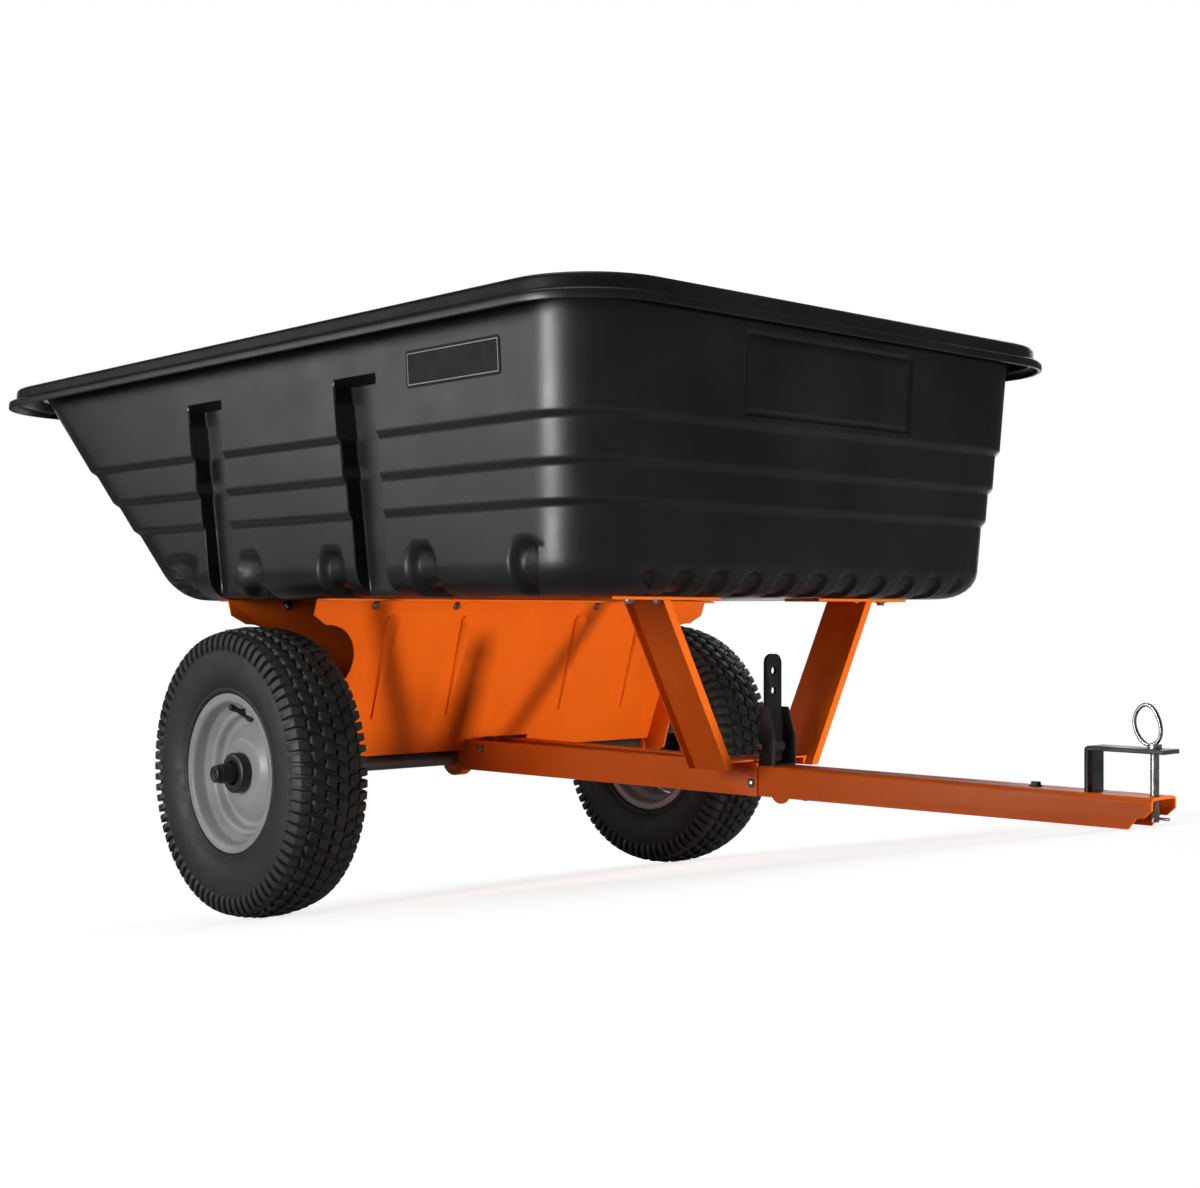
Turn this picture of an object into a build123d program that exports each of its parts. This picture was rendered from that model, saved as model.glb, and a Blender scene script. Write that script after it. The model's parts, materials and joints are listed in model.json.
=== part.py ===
"""Tipping dump trailer: a poly tub on a stamped steel carriage, two turf wheels and a pin hitch.

The cart is modelled level, in millimetres: X forward to the hitch, Y to the left, Z up, with the
ground under the axle at the origin. Every finished piece is then parked by one placement, because
an unhitched cart stands on its two wheels and the lower corner of its tongue.
"""
from build123d import *
from math import asin, atan2, cos, degrees, hypot, sin, tan
import os

os.makedirs("parts", exist_ok=True)

# ---- driving dimensions -------------------------------------------------------------------

# wheels and axle
tyre_radius = 203.2
tyre_width = 113.0
track = 809.0
bead_radius = 101.6
flange_radius = 112.0
rim_width = 92.0
rim_sheet = 2.6
tyre_wall = 8.0
axle_radius = 11.0
axle_length = 916.0
axle_chamfer = 1.5
hub_wall = 6.0
hub_flange_radius = 28.0
hub_flange_thickness = 6.0
hub_flange_inset = 15.0
cap_wall = 2.0
cap_length = 38.0
cap_end_wall = 8.0
valve_radius = 5.5
valve_length = 16.0
valve_place = 78.0
tread_half = 44.0
crown_drop = 5.0
sidewall_radius = 158.0
bead_width = 14.0
drop_depth = 14.0
well_half = 20.0
dish_foot = 8.0
dish_radius = 68.0
dish_seat_radius = 42.0
hub_rebate = 0.5
cap_play = 1.0

# fits
running_clearance = 0.05
moving_gap = 5.0
rest_gap = 1.0
pin_clearance = 0.5

# tub
tub_front = 758.0
tub_rear = 775.0
tub_width = 947.0
rim_top = 799.0
tub_floor = 445.0
wall = 5.0
front_corner = 118.0
rear_corner = 150.0
rim_flange = 40.0
rear_flange = 46.5
rim_step = 10.0
rim_step_height = 19.0
skirt_depth = 32.0
wall_draft = 0.056
rear_rake = 1.10
ledge_step = 4.2
ledge_drop = 10.0
ledge_heights = (650.0, 597.0, 551.0)
wall_front_corner = 95.0
wall_rear_corner = 140.0
floor_round = 40.0
channel_centres = (-102.0, 272.0)
channel_width = 90.0
channel_depth = 28.0
channel_top = 724.0
decal_length = 182.0
decal_height = 46.0
decal_thickness = 1.0
decal_corner = 6.0
decal_centre = (476.0, 724.0)

# axle supports: stamped panels, hung under the tub like a V
sheet = 2.5
support_top_reach = 118.0
support_foot_reach = 30.0
support_foot_height = 217.0
support_top_width = 762.0
support_foot_width = 674.0
support_waist_width = 602.0
support_waist = 0.58
wing_depth = 22.0
support_flange = 24.0
ear_radius = 24.0
ear_rise = 92.0
ear_reach = 36.0
ear_knee = 270.0
ear_corner = (19.2, 14.4)
rib_height = 4.0
rib_width = 18.0
rib_length = 160.0
rib_places = (112.0, 247.0)
rib_margin = 22.0
ear_sheet = 3.0
wing_slant = 14.0

# tongue
tongue_sheet = 3.0
rail_spread = 114.0
rail_lobe_radius = 27.0
rail_top = 231.0
rail_bottom = 187.0
rail_flange = 18.0
rail_bend = 556.0
rail_end = 603.0
tongue_start = 560.0
tongue_end = 1162.0
tongue_width = 52.0
tongue_top = 227.5
tongue_bottom = 187.5
nose_bottom = 192.0
tongue_round = 6.0
nose_run = 28.0
nose_rise = 22.0
nose_notch = 13.0
nose_notch_run = 10.0
nose_ledge = 8.0
tongue_lobe_radius = 16.0
tongue_lobe_place = 640.0
tongue_lobe_drop = 7.0

# braces from the tub down to the latch plate
brace_centre = 572.0
brace_web = 71.0
brace_flange = 12.0
brace_top_spread = 382.0
brace_foot_spread = 150.0
pad_length = 190.0
pad_width = 62.0
pad_sheet = 4.0
latch_plate_front = 595.0
latch_plate_lip = 12.0

# latch lever and its bracket
lever_width = 30.0
lever_thickness = 5.0
lever_top = 372.0
lever_hole_radius = 5.0
lever_hole_pitch = 26.0
lever_hole_margin = 22.0
lever_gap = 2.0
clevis_length = 26.0
clevis_height = 75.0
clevis_width = 42.0
clevis_pin_rise = 24.0
clevis_top = 14.0
clevis_pin_radius = 4.0
pin_overhang = 4.0

# hitch
hitch_pin_place = 1151.0
hitch_pin_radius = 4.75
hitch_pin_foot = 199.5
hitch_strap_width = 33.0
hitch_strap_thickness = 5.0
hitch_gap = 46.0
hitch_leg = 1075.0
hitch_strap_front = 1171.0
hitch_foot_length = 95.0
head_radius = 7.5
head_height = 5.0
ring_radius = 14.5
ring_height = 42.0
ring_lean = 5.0
ring_waist_share = 0.62
ring_wire = 2.2
clip_wire = 1.6
clip_length = 34.0
clip_eye = 5.0
clip_margin = 4.0

# ---- the parked stance --------------------------------------------------------------------

# the nose corner sits below and ahead of the axle; turning about the axle brings it to the ground
nose_corner = tongue_end - nose_run
nose_drop = tyre_radius - nose_bottom
park_angle = asin(tyre_radius / hypot(nose_corner, nose_drop)) - atan2(nose_drop, nose_corner)


def parked_x(x, z):
    """Where a point of the level cart stands along X once the nose is down, from the axle."""
    return x * cos(park_angle) + (z - tyre_radius) * sin(park_angle)


strap_top = tongue_top + hitch_gap + hitch_strap_thickness
foremost = parked_x(hitch_strap_front, strap_top - hitch_strap_thickness)
foremost += hitch_strap_thickness * sin(park_angle)
rearmost = parked_x(-tub_rear, rim_top - skirt_depth)
parked_axle = Location((-(foremost + rearmost) / 2, 0, tyre_radius), (0, degrees(park_angle), 0))
parked = parked_axle * Location((0, 0, -tyre_radius))

# ---- tub ----------------------------------------------------------------------------------

tub_levels = [(rim_top, 0)]
for count, ledge in enumerate(ledge_heights):
    tub_levels.append((ledge + ledge_drop / 2, count))
    tub_levels.append((ledge - ledge_drop / 2, count + 1))
tub_levels.append((tub_floor, len(ledge_heights)))


def side_inset(height, ledges):
    """How far the tub's front and sides stand inside the rim's outer edge."""
    return rim_flange + wall_draft * (rim_top - height) + ledge_step * ledges


def rear_inset(height, ledges):
    """How far the raked rear wall stands inside the rim's outer edge."""
    return rear_flange + rear_rake * (rim_top - height) + ledge_step * ledges


def rounded_outline(front, rear, width, front_radius, rear_radius):
    """A rectangle from rear to front of the axle, with one radius in front and another behind."""
    with Locations(((front - rear) / 2, 0)):
        Rectangle(front + rear, width)
    fillet(vertices().group_by(Axis.X)[-1], front_radius)
    fillet(vertices().group_by(Axis.X)[0], rear_radius)


def tub_outline(height, ledges, inward):
    """The tub's section at a level, drawn inward of its outer face."""
    side = side_inset(height, ledges) + inward
    rear = rear_inset(height, ledges) + inward * hypot(1, rear_rake)
    rounded_outline(
        tub_front - side,
        tub_rear - rear,
        tub_width - 2 * side,
        wall_front_corner - inward,
        wall_rear_corner - inward,
    )


def rim_outline(inward):
    """The rim's outer edge, drawn inward of it."""
    rounded_outline(
        tub_front - inward,
        tub_rear - inward,
        tub_width - 2 * inward,
        front_corner - inward,
        rear_corner - inward,
    )


channel_back = tub_width / 2 - side_inset(channel_top, 0) - channel_depth
channel_spots = [(place, side * (channel_back + channel_depth)) for place in channel_centres for side in (-1, 1)]

# the slots that are pressed into the tub's sides, and the wall that stands around each inside
with BuildPart() as channels:
    with BuildSketch(Plane.XY.offset(tub_floor - wall)):
        with Locations(*channel_spots):
            Rectangle(channel_width, 2 * channel_depth)
    extrude(amount=channel_top - tub_floor + wall)

with BuildPart() as channel_walls:
    with BuildSketch(Plane.XY.offset(tub_floor - wall)):
        with Locations(*channel_spots):
            Rectangle(channel_width + 2 * wall, 2 * channel_depth + 2 * wall)
    extrude(amount=channel_top - tub_floor + 2 * wall)

# the space inside the tub
with BuildPart() as hollow:
    for height, ledges in tub_levels[:-1]:
        with BuildSketch(Plane.XY.offset(height)):
            tub_outline(height, ledges, wall)
    with BuildSketch(Plane.XY.offset(tub_floor + wall)):
        tub_outline(tub_floor + wall, len(ledge_heights), wall)
    loft(ruled=True)
    fillet(hollow.edges().group_by(Axis.Z)[0], floor_round - wall)
    add(channel_walls.part, mode=Mode.SUBTRACT)

# the rim: a flange in two tiers over a skirt, open underneath
skirt_bottom = rim_top - skirt_depth
step_level = rim_top - rim_step_height
with BuildPart() as rim:
    with BuildSketch(Plane.XY.offset(skirt_bottom)):
        rim_outline(0)
    extrude(amount=step_level - skirt_bottom)
    with BuildSketch(Plane.XY.offset(step_level)):
        rim_outline(rim_step)
    extrude(amount=rim_top - step_level)
    with BuildSketch(Plane.XY.offset(skirt_bottom)):
        rim_outline(wall)
    extrude(amount=step_level - wall - skirt_bottom, mode=Mode.SUBTRACT)
    with BuildSketch(Plane.XY.offset(step_level - wall)):
        rim_outline(rim_step + wall)
    extrude(amount=rim_top - step_level, mode=Mode.SUBTRACT)

with BuildPart() as tub:
    for height, ledges in tub_levels:
        with BuildSketch(Plane.XY.offset(height)):
            tub_outline(height, ledges, 0)
    loft(ruled=True)
    fillet(tub.edges().group_by(Axis.Z)[0], floor_round)
    add(channels.part, mode=Mode.SUBTRACT)
    add(rim.part)
    add(hollow.part, mode=Mode.SUBTRACT)
tub.part.label = "tub"
export_step(tub.part.moved(parked), "parts/tub.step")

# ---- blank label plates on the tub's sides ------------------------------------------------

decal_along, decal_up = decal_centre
decal_face = tub_width / 2 - side_inset(decal_up, 0)
decal_plane = Plane((decal_along, -decal_face, decal_up), x_dir=(1, 0, 0), z_dir=(0, -1, -wall_draft))

with BuildPart() as decal_right:
    with BuildSketch(decal_plane):
        RectangleRounded(decal_length, decal_height, decal_corner)
    extrude(amount=decal_thickness)
decal_right.part.label = "decal_right"
export_step(decal_right.part.moved(parked), "parts/decal_right.step")

with BuildPart() as decal_left:
    mirror(decal_right.part, about=Plane.XZ)
decal_left.part.label = "decal_left"
export_step(decal_left.part.moved(parked), "parts/decal_left.step")

# ---- axle supports ------------------------------------------------------------------------

support_lean = atan2(support_top_reach - support_foot_reach, tub_floor - support_foot_height)
flange_level = tub_floor - sheet
support_length = (flange_level - support_foot_height) / cos(support_lean)
front_ear = support_foot_width / 2


def support_plane(side):
    """The outer face of a support panel: its foot at the origin, its length along local Y."""
    return Plane(
        (side * support_foot_reach, 0, support_foot_height),
        x_dir=(0, side, 0),
        z_dir=(side * cos(support_lean), 0, -sin(support_lean)),
    )


def support_outline(foot_width):
    """Half wing, half waist: the panel clears the tyres and widens again to its ears."""
    foot = foot_width / 2
    top = support_top_width / 2
    waist = (support_waist_width / 2, support_waist * support_length)
    shoulder = (top - wing_depth, support_length - wing_depth - wing_slant)
    knee = (foot, ear_rise / cos(support_lean))
    with BuildLine() as outline:
        Line((0, 0), (foot, 0))
        Line((foot, 0), knee)
        ThreePointArc(knee, waist, shoulder)
        Polyline(shoulder, (top, support_length - wing_depth), (top, support_length), (0, support_length))
        mirror(about=Plane.YZ)
    make_face(outline.edges())


def ear_outline(side):
    """The ear that is folded off a panel's end and holds the axle."""
    slope = (support_top_reach - support_foot_reach) / (tub_floor - support_foot_height)
    panel_at_knee = support_foot_reach + slope * (ear_knee - support_foot_height)
    across, down = ear_corner
    with BuildLine() as outline:
        Polyline(
            (-side * across, tyre_radius + down),
            (side * (support_foot_reach - sheet), support_foot_height),
            (side * (support_foot_reach + slope * ear_rise - sheet), support_foot_height + ear_rise),
            (side * (support_foot_reach + slope * ear_rise), support_foot_height + ear_rise),
            (side * (panel_at_knee + ear_reach), ear_knee),
            (side * (support_foot_reach + ear_reach), tyre_radius),
            (side * down, tyre_radius - across),
            close=True,
        )
    make_face(outline.edges())
    with Locations((0, tyre_radius)):
        Circle(ear_radius)
        Circle(axle_radius + running_clearance, mode=Mode.SUBTRACT)


def build_support(side, ear_face, notch):
    """One stamped panel: ribs on its outer face, a flange under the tub and an ear at each end."""
    outer = support_plane(side)
    with BuildPart() as support:
        with BuildSketch(outer):
            support_outline(2 * ear_face)
        extrude(amount=-sheet)
        with BuildSketch(outer):
            for place in rib_places:
                with Locations((-place, support_length - rib_margin), (place, support_length - rib_margin)):
                    Polygon((-rib_width / 2, 0), (0, -rib_length), (rib_width / 2, 0), align=None)
        extrude(amount=rib_height)
        with BuildSketch(Plane.XY.offset(flange_level)):
            with Locations((side * (support_top_reach + support_flange / 2 - sheet), 0)):
                Rectangle(support_flange, support_top_width)
        extrude(amount=sheet)
        for end in (-1, 1):
            with BuildSketch(Plane.XZ.offset(-end * ear_face)):
                ear_outline(side)
            extrude(amount=end * ear_sheet)
        if notch:
            with BuildSketch(Plane.XY.offset(support_foot_height - sheet)):
                with Locations((side * support_foot_reach, 0)):
                    Rectangle(2 * support_flange, rail_spread + 2 * moving_gap)
            extrude(amount=rail_top + moving_gap - support_foot_height + sheet, mode=Mode.SUBTRACT)
    return support.part


with BuildPart() as axle_support_front:
    add(build_support(1, front_ear, notch=True))
axle_support_front.part.label = "axle_support_front"
export_step(axle_support_front.part.moved(parked), "parts/axle_support_front.step")

with BuildPart() as axle_support_rear:
    add(build_support(-1, front_ear - ear_sheet, notch=False))
axle_support_rear.part.label = "axle_support_rear"
export_step(axle_support_rear.part.moved(parked), "parts/axle_support_rear.step")

# ---- axle and tongue ----------------------------------------------------------------------

with BuildPart() as axle:
    with BuildSketch(Plane.XZ):
        with Locations((0, tyre_radius)):
            Circle(axle_radius)
    extrude(amount=axle_length / 2, both=True)
    chamfer(axle.edges().filter_by(GeomType.CIRCLE), axle_chamfer)
axle.part.label = "axle"
export_step(axle.part.moved(parked), "parts/axle.step")

rail_outer_rear = rail_spread / 2
rail_outer_front = tongue_width / 2 + tongue_sheet


def rail_plan(inset, reach):
    """A rail seen from above: it closes in on the tongue, then runs along its side."""
    back = -rail_lobe_radius - tongue_sheet
    outer = [(back, rail_outer_rear), (rail_bend, rail_outer_front), (rail_end, rail_outer_front)]
    near = [(x, -(y - inset)) for x, y in outer]
    far = [(x, -(y - reach)) for x, y in reversed(outer)]
    with BuildLine() as outline:
        Polyline(*near, *far, close=True)
    make_face(outline.edges())


def rail_side(inset):
    """A rail seen from the side: a straight channel with a round lobe about the axle."""
    with BuildLine() as outline:
        Polyline(
            (0, rail_top - inset),
            (rail_end, rail_top - inset),
            (rail_end, rail_bottom + inset),
            (0, rail_bottom + inset),
            close=True,
        )
    make_face(outline.edges())
    with Locations((0, tyre_radius)):
        Circle(rail_lobe_radius - inset)


rail_floor = tyre_radius - rail_lobe_radius - tongue_sheet
with BuildPart() as rail_hollow:
    with BuildSketch(Plane.XY.offset(rail_floor)):
        rail_plan(tongue_sheet, rail_flange + tongue_sheet)
    extrude(amount=rail_top)
    with BuildSketch(Plane.XZ):
        rail_side(tongue_sheet)
    extrude(amount=rail_spread, mode=Mode.INTERSECT)

with BuildPart() as tongue_rail_right:
    with BuildSketch(Plane.XY.offset(rail_floor)):
        rail_plan(0, rail_flange)
    extrude(amount=rail_top)
    with BuildSketch(Plane.XZ):
        rail_side(0)
    extrude(amount=rail_spread, mode=Mode.INTERSECT)
    add(rail_hollow.part, mode=Mode.SUBTRACT)
    with BuildSketch(Plane.XY.offset(rail_floor)):
        with Locations(((tongue_start + rail_end) / 2, 0)):
            Rectangle(rail_end - tongue_start, tongue_width)
    extrude(amount=rail_top, mode=Mode.SUBTRACT)
    with BuildSketch(Plane.XZ):
        with Locations((0, tyre_radius)):
            Circle(axle_radius)
    extrude(amount=rail_spread, mode=Mode.SUBTRACT)
tongue_rail_right.part.label = "tongue_rail_right"
export_step(tongue_rail_right.part.moved(parked), "parts/tongue_rail_right.step")

with BuildPart() as tongue_rail_left:
    mirror(tongue_rail_right.part, about=Plane.XZ)
tongue_rail_left.part.label = "tongue_rail_left"
export_step(tongue_rail_left.part.moved(parked), "parts/tongue_rail_left.step")

# the front of the tongue: a channel, open underneath, with its lower front corners cut away
with BuildPart() as tongue_front:
    with BuildSketch(Plane.YZ.offset(tongue_start)):
        with Locations((0, (tongue_top + tongue_bottom) / 2)):
            Rectangle(tongue_width, tongue_top - tongue_bottom)
        fillet(vertices().group_by(Axis.Y)[-1], tongue_round)
    extrude(amount=tongue_end - tongue_start)
    with BuildSketch(Plane.YZ.offset(tongue_start)):
        with Locations((0, (tongue_top + tongue_bottom) / 2 - tongue_sheet)):
            Rectangle(tongue_width - 2 * tongue_sheet, tongue_top - tongue_bottom)
        fillet(vertices().group_by(Axis.Y)[-1], tongue_round - tongue_sheet)
    extrude(amount=tongue_end - tongue_start, mode=Mode.SUBTRACT)
    with BuildSketch(Plane.XZ):
        with BuildLine():
            Polyline(
                (rail_end, tongue_bottom),
                (nose_corner, nose_bottom),
                (nose_corner + nose_notch_run, nose_bottom + nose_notch),
                (nose_corner + nose_notch_run + nose_ledge, nose_bottom + nose_notch),
                (tongue_end, nose_bottom + nose_rise),
                (tongue_end, tongue_bottom - nose_rise),
                (rail_end, tongue_bottom - nose_rise),
                close=True,
            )
        make_face()
    extrude(amount=tongue_width, both=True, mode=Mode.SUBTRACT)
    for end in (-1, 1):
        with BuildSketch(Plane.XZ.offset(end * tongue_width / 2)):
            with Locations((tongue_lobe_place, tongue_bottom + tongue_lobe_radius - tongue_lobe_drop)):
                Circle(tongue_lobe_radius)
        extrude(amount=-end * tongue_sheet)
    with BuildSketch(Plane.XY.offset(tongue_bottom)):
        with Locations((hitch_pin_place, 0)):
            Circle(hitch_pin_radius + pin_clearance)
        with Locations((hitch_leg + hitch_strap_thickness / 2, 0)):
            Rectangle(hitch_strap_thickness, hitch_strap_width)
    extrude(amount=tongue_top, mode=Mode.SUBTRACT)
tongue_front.part.label = "tongue_front"
export_step(tongue_front.part.moved(parked), "parts/tongue_front.step")

# ---- braces and latch plate ---------------------------------------------------------------

plate_bottom = rail_top + rest_gap
plate_top = plate_bottom + sheet
pad_level = tub_floor - pad_sheet
brace_foot = brace_foot_spread / 2
brace_head = brace_top_spread / 2
brace_base = plate_top - latch_plate_lip
brace_rise = pad_level - brace_base
brace_lean = atan2(brace_head - brace_foot, brace_rise)
brace_back = brace_centre - brace_web / 2


def brace_band(depth):
    """The brace seen along the cart: a leaning band, from its foot to its head."""
    across = depth / cos(brace_lean)
    with BuildLine() as outline:
        Polyline(
            (-brace_foot, brace_base),
            (-brace_head, pad_level),
            (-brace_head - across, pad_level),
            (-brace_foot - across, brace_base),
            close=True,
        )
    make_face(outline.edges())


with BuildPart() as brace_right:
    with BuildSketch(Plane.YZ.offset(brace_back)):
        brace_band(sheet)
    extrude(amount=brace_web)
    for place in (brace_back, brace_back + brace_web - sheet):
        with BuildSketch(Plane.YZ.offset(place)):
            brace_band(brace_flange)
        extrude(amount=sheet)
brace_right.part.label = "brace_right"
export_step(brace_right.part.moved(parked), "parts/brace_right.step")

with BuildPart() as brace_left:
    mirror(brace_right.part, about=Plane.XZ)
brace_left.part.label = "brace_left"
export_step(brace_left.part.moved(parked), "parts/brace_left.step")

with BuildPart() as brace_pad_right:
    with BuildSketch(Plane.XY.offset(pad_level)):
        with Locations((brace_centre, -brace_head)):
            Rectangle(pad_width, pad_length)
    extrude(amount=pad_sheet)
brace_pad_right.part.label = "brace_pad_right"
export_step(brace_pad_right.part.moved(parked), "parts/brace_pad_right.step")

with BuildPart() as brace_pad_left:
    mirror(brace_pad_right.part, about=Plane.XZ)
brace_pad_left.part.label = "brace_pad_left"
export_step(brace_pad_left.part.moved(parked), "parts/brace_pad_left.step")

# a saddle over the tongue, with a lip down each side that a brace is welded to
with BuildPart() as latch_plate:
    with BuildSketch(Plane.YZ.offset(brace_back)):
        with BuildLine():
            Polyline(
                (0, plate_bottom),
                (brace_foot - sheet, plate_bottom),
                (brace_foot - sheet, brace_base),
                (brace_foot, brace_base),
                (brace_foot + latch_plate_lip * tan(brace_lean), plate_top),
                (0, plate_top),
            )
            mirror(about=Plane.YZ)
        make_face()
    extrude(amount=latch_plate_front - brace_back)
latch_plate.part.label = "latch_plate"
export_step(latch_plate.part.moved(parked), "parts/latch_plate.step")

# ---- latch lever --------------------------------------------------------------------------

clevis_back = latch_plate_front + moving_gap
lever_place = clevis_back + lever_gap + lever_thickness / 2
clevis_pin_level = tongue_top + clevis_pin_rise

with BuildPart() as latch_bracket:
    with BuildSketch(Plane.YZ.offset(clevis_back)):
        with Locations((0, tongue_top + clevis_height / 2)):
            Rectangle(clevis_width, clevis_height)
        with Locations((0, tongue_top + clevis_height / 2 + sheet)):
            Rectangle(clevis_width - 2 * sheet, clevis_height, mode=Mode.SUBTRACT)
    extrude(amount=clevis_length)
    ear_tips = latch_bracket.edges().filter_by(Axis.Y).group_by(Axis.Z)[-1].sort_by(Axis.X)[-2:]
    chamfer(ear_tips, clevis_length - clevis_top, clevis_height / 2)
    with BuildSketch(Plane.XZ):
        with Locations((lever_place, clevis_pin_level)):
            Circle(clevis_pin_radius)
    extrude(amount=clevis_width, both=True, mode=Mode.SUBTRACT)
latch_bracket.part.label = "latch_bracket"
export_step(latch_bracket.part.moved(parked), "parts/latch_bracket.step")

with BuildPart() as latch_pin:
    with BuildSketch(Plane.XZ):
        with Locations((lever_place, clevis_pin_level)):
            Circle(clevis_pin_radius)
    extrude(amount=clevis_width / 2 + pin_overhang, both=True)
latch_pin.part.label = "latch_pin"
export_step(latch_pin.part.moved(parked), "parts/latch_pin.step")

lever_foot = tongue_top + 2 * sheet
with BuildPart() as latch_lever:
    with BuildSketch(Plane.YZ.offset(lever_place - lever_thickness / 2)):
        with Locations((0, (lever_top + lever_foot) / 2)):
            Rectangle(lever_width, lever_top - lever_foot)
        fillet(vertices().group_by(Axis.Y)[-1], lever_width / 2 - sheet)
        with Locations(*[(0, lever_top - lever_hole_margin - step * lever_hole_pitch) for step in (0, 1)]):
            Circle(lever_hole_radius, mode=Mode.SUBTRACT)
    extrude(amount=lever_thickness)
    with BuildSketch(Plane.XZ):
        with Locations((lever_place, clevis_pin_level)):
            Circle(clevis_pin_radius + lever_thickness)
    extrude(amount=lever_width / 2, both=True)
    with BuildSketch(Plane.XZ):
        with Locations((lever_place, clevis_pin_level)):
            Circle(clevis_pin_radius)
    extrude(amount=lever_width, both=True, mode=Mode.SUBTRACT)
latch_lever.part.label = "latch_lever"
export_step(latch_lever.part.moved(parked), "parts/latch_lever.step")

# ---- hitch --------------------------------------------------------------------------------

# the bracket's foot lies under the tongue's top, and its leg comes up through a slot there
foot_top = tongue_top - tongue_sheet
with BuildPart() as hitch_bracket:
    with BuildSketch(Plane.XZ):
        with BuildLine():
            Polyline(
                (hitch_leg - hitch_foot_length, foot_top - hitch_strap_thickness),
                (hitch_leg + hitch_strap_thickness, foot_top - hitch_strap_thickness),
                (hitch_leg + hitch_strap_thickness, strap_top - hitch_strap_thickness),
                (hitch_strap_front, strap_top - hitch_strap_thickness),
                (hitch_strap_front, strap_top),
                (hitch_leg, strap_top),
                (hitch_leg, foot_top),
                (hitch_leg - hitch_foot_length, foot_top),
                close=True,
            )
        make_face()
    extrude(amount=hitch_strap_width / 2, both=True)
    bends = hitch_bracket.edges().filter_by(Axis.Y).group_by(Axis.Z)[-1].sort_by(Axis.X)[:1]
    fillet(bends, hitch_strap_thickness)
    with BuildSketch(Plane.XY.offset(tongue_top)):
        with Locations((hitch_pin_place, 0)):
            Circle(hitch_pin_radius + pin_clearance)
    extrude(amount=strap_top, mode=Mode.SUBTRACT)
hitch_bracket.part.label = "hitch_bracket"
export_step(hitch_bracket.part.moved(parked), "parts/hitch_bracket.step")

# an egg-shaped pull ring, whose foot is set in the pin's head
ring_foot = strap_top + head_height
ring_crown = ring_foot + ring_height
ring_waist = ring_foot + ring_waist_share * ring_height
with BuildPart() as pin_ring:
    with BuildLine(Plane.XZ) as ring_course:
        Spline(
            (hitch_pin_place, ring_foot),
            (hitch_pin_place + ring_lean, ring_waist),
            (hitch_pin_place + ring_lean - ring_radius, ring_crown),
            (hitch_pin_place + ring_lean - 2 * ring_radius, ring_waist),
            periodic=True,
        )
    with BuildSketch(Plane((hitch_pin_place, 0, ring_foot), z_dir=ring_course.wire() % 0)):
        Circle(ring_wire)
    sweep(path=ring_course.wire())
pin_ring.part.label = "pin_ring"
export_step(pin_ring.part.moved(parked), "parts/pin_ring.step")

clip_level = hitch_pin_foot + clip_margin
with BuildPart() as hitch_pin:
    with BuildSketch(Plane.XY.offset(hitch_pin_foot)):
        with Locations((hitch_pin_place, 0)):
            Circle(hitch_pin_radius)
    extrude(amount=strap_top - hitch_pin_foot)
    with BuildSketch(Plane.XY.offset(strap_top)):
        with Locations((hitch_pin_place, 0)):
            Circle(head_radius)
    extrude(amount=head_height)
    with BuildSketch(Plane.YZ.offset(hitch_pin_place)):
        with Locations((0, clip_level)):
            Circle(clip_wire)
    extrude(amount=head_radius, both=True, mode=Mode.SUBTRACT)
    add(pin_ring.part, mode=Mode.SUBTRACT)
hitch_pin.part.label = "hitch_pin"
export_step(hitch_pin.part.moved(parked), "parts/hitch_pin.step")

with BuildPart() as pin_clip:
    with BuildSketch(Plane.YZ.offset(hitch_pin_place - clip_length / 2)):
        with Locations((0, clip_level)):
            Circle(clip_wire)
    extrude(amount=clip_length)
    with Locations((hitch_pin_place - clip_length / 2 - clip_eye, 0, clip_level)):
        Torus(clip_eye, clip_wire)
pin_clip.part.label = "pin_clip"
export_step(pin_clip.part.moved(parked), "parts/pin_clip.step")

# ---- wheels -------------------------------------------------------------------------------

rim_half = rim_width / 2
bead_place = rim_half - rim_sheet
hub_outer = rim_half - hub_flange_inset
hub_radius = axle_radius + hub_wall
cap_radius = axle_radius + cap_play + cap_wall
hub_seat = hub_outer - hub_flange_thickness
hub_inner = tyre_width / 2 - hub_rebate
drop_radius = bead_radius - drop_depth


def wheel_plane(side):
    """The half plane that a wheel's sections are drawn in: local X outward, local Y up."""
    return Plane((0, side * track / 2, tyre_radius), x_dir=(0, side, 0), z_dir=(side, 0, 0))


def spin_axis(side):
    """The line that a wheel turns about."""
    return Axis((0, side * track / 2, tyre_radius), (0, 1, 0))


def tyre_outline(inset, bead_reach):
    """The tyre's section from bead to bead, inset from its outer face."""
    shoulder = (tread_half - inset / 2, tyre_radius - crown_drop - inset)
    with BuildLine() as outline:
        ThreePointArc((-shoulder[0], shoulder[1]), (0, tyre_radius - inset), shoulder)
        ThreePointArc(shoulder, (tyre_width / 2 - inset, sidewall_radius), (bead_reach, flange_radius))
        Polyline((bead_reach, flange_radius), (bead_reach, bead_radius), (0, bead_radius))
        mirror(outline.edges().filter_by_position(Axis.X, 0, tyre_width), about=Plane.YZ)
    make_face(outline.edges())


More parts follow.
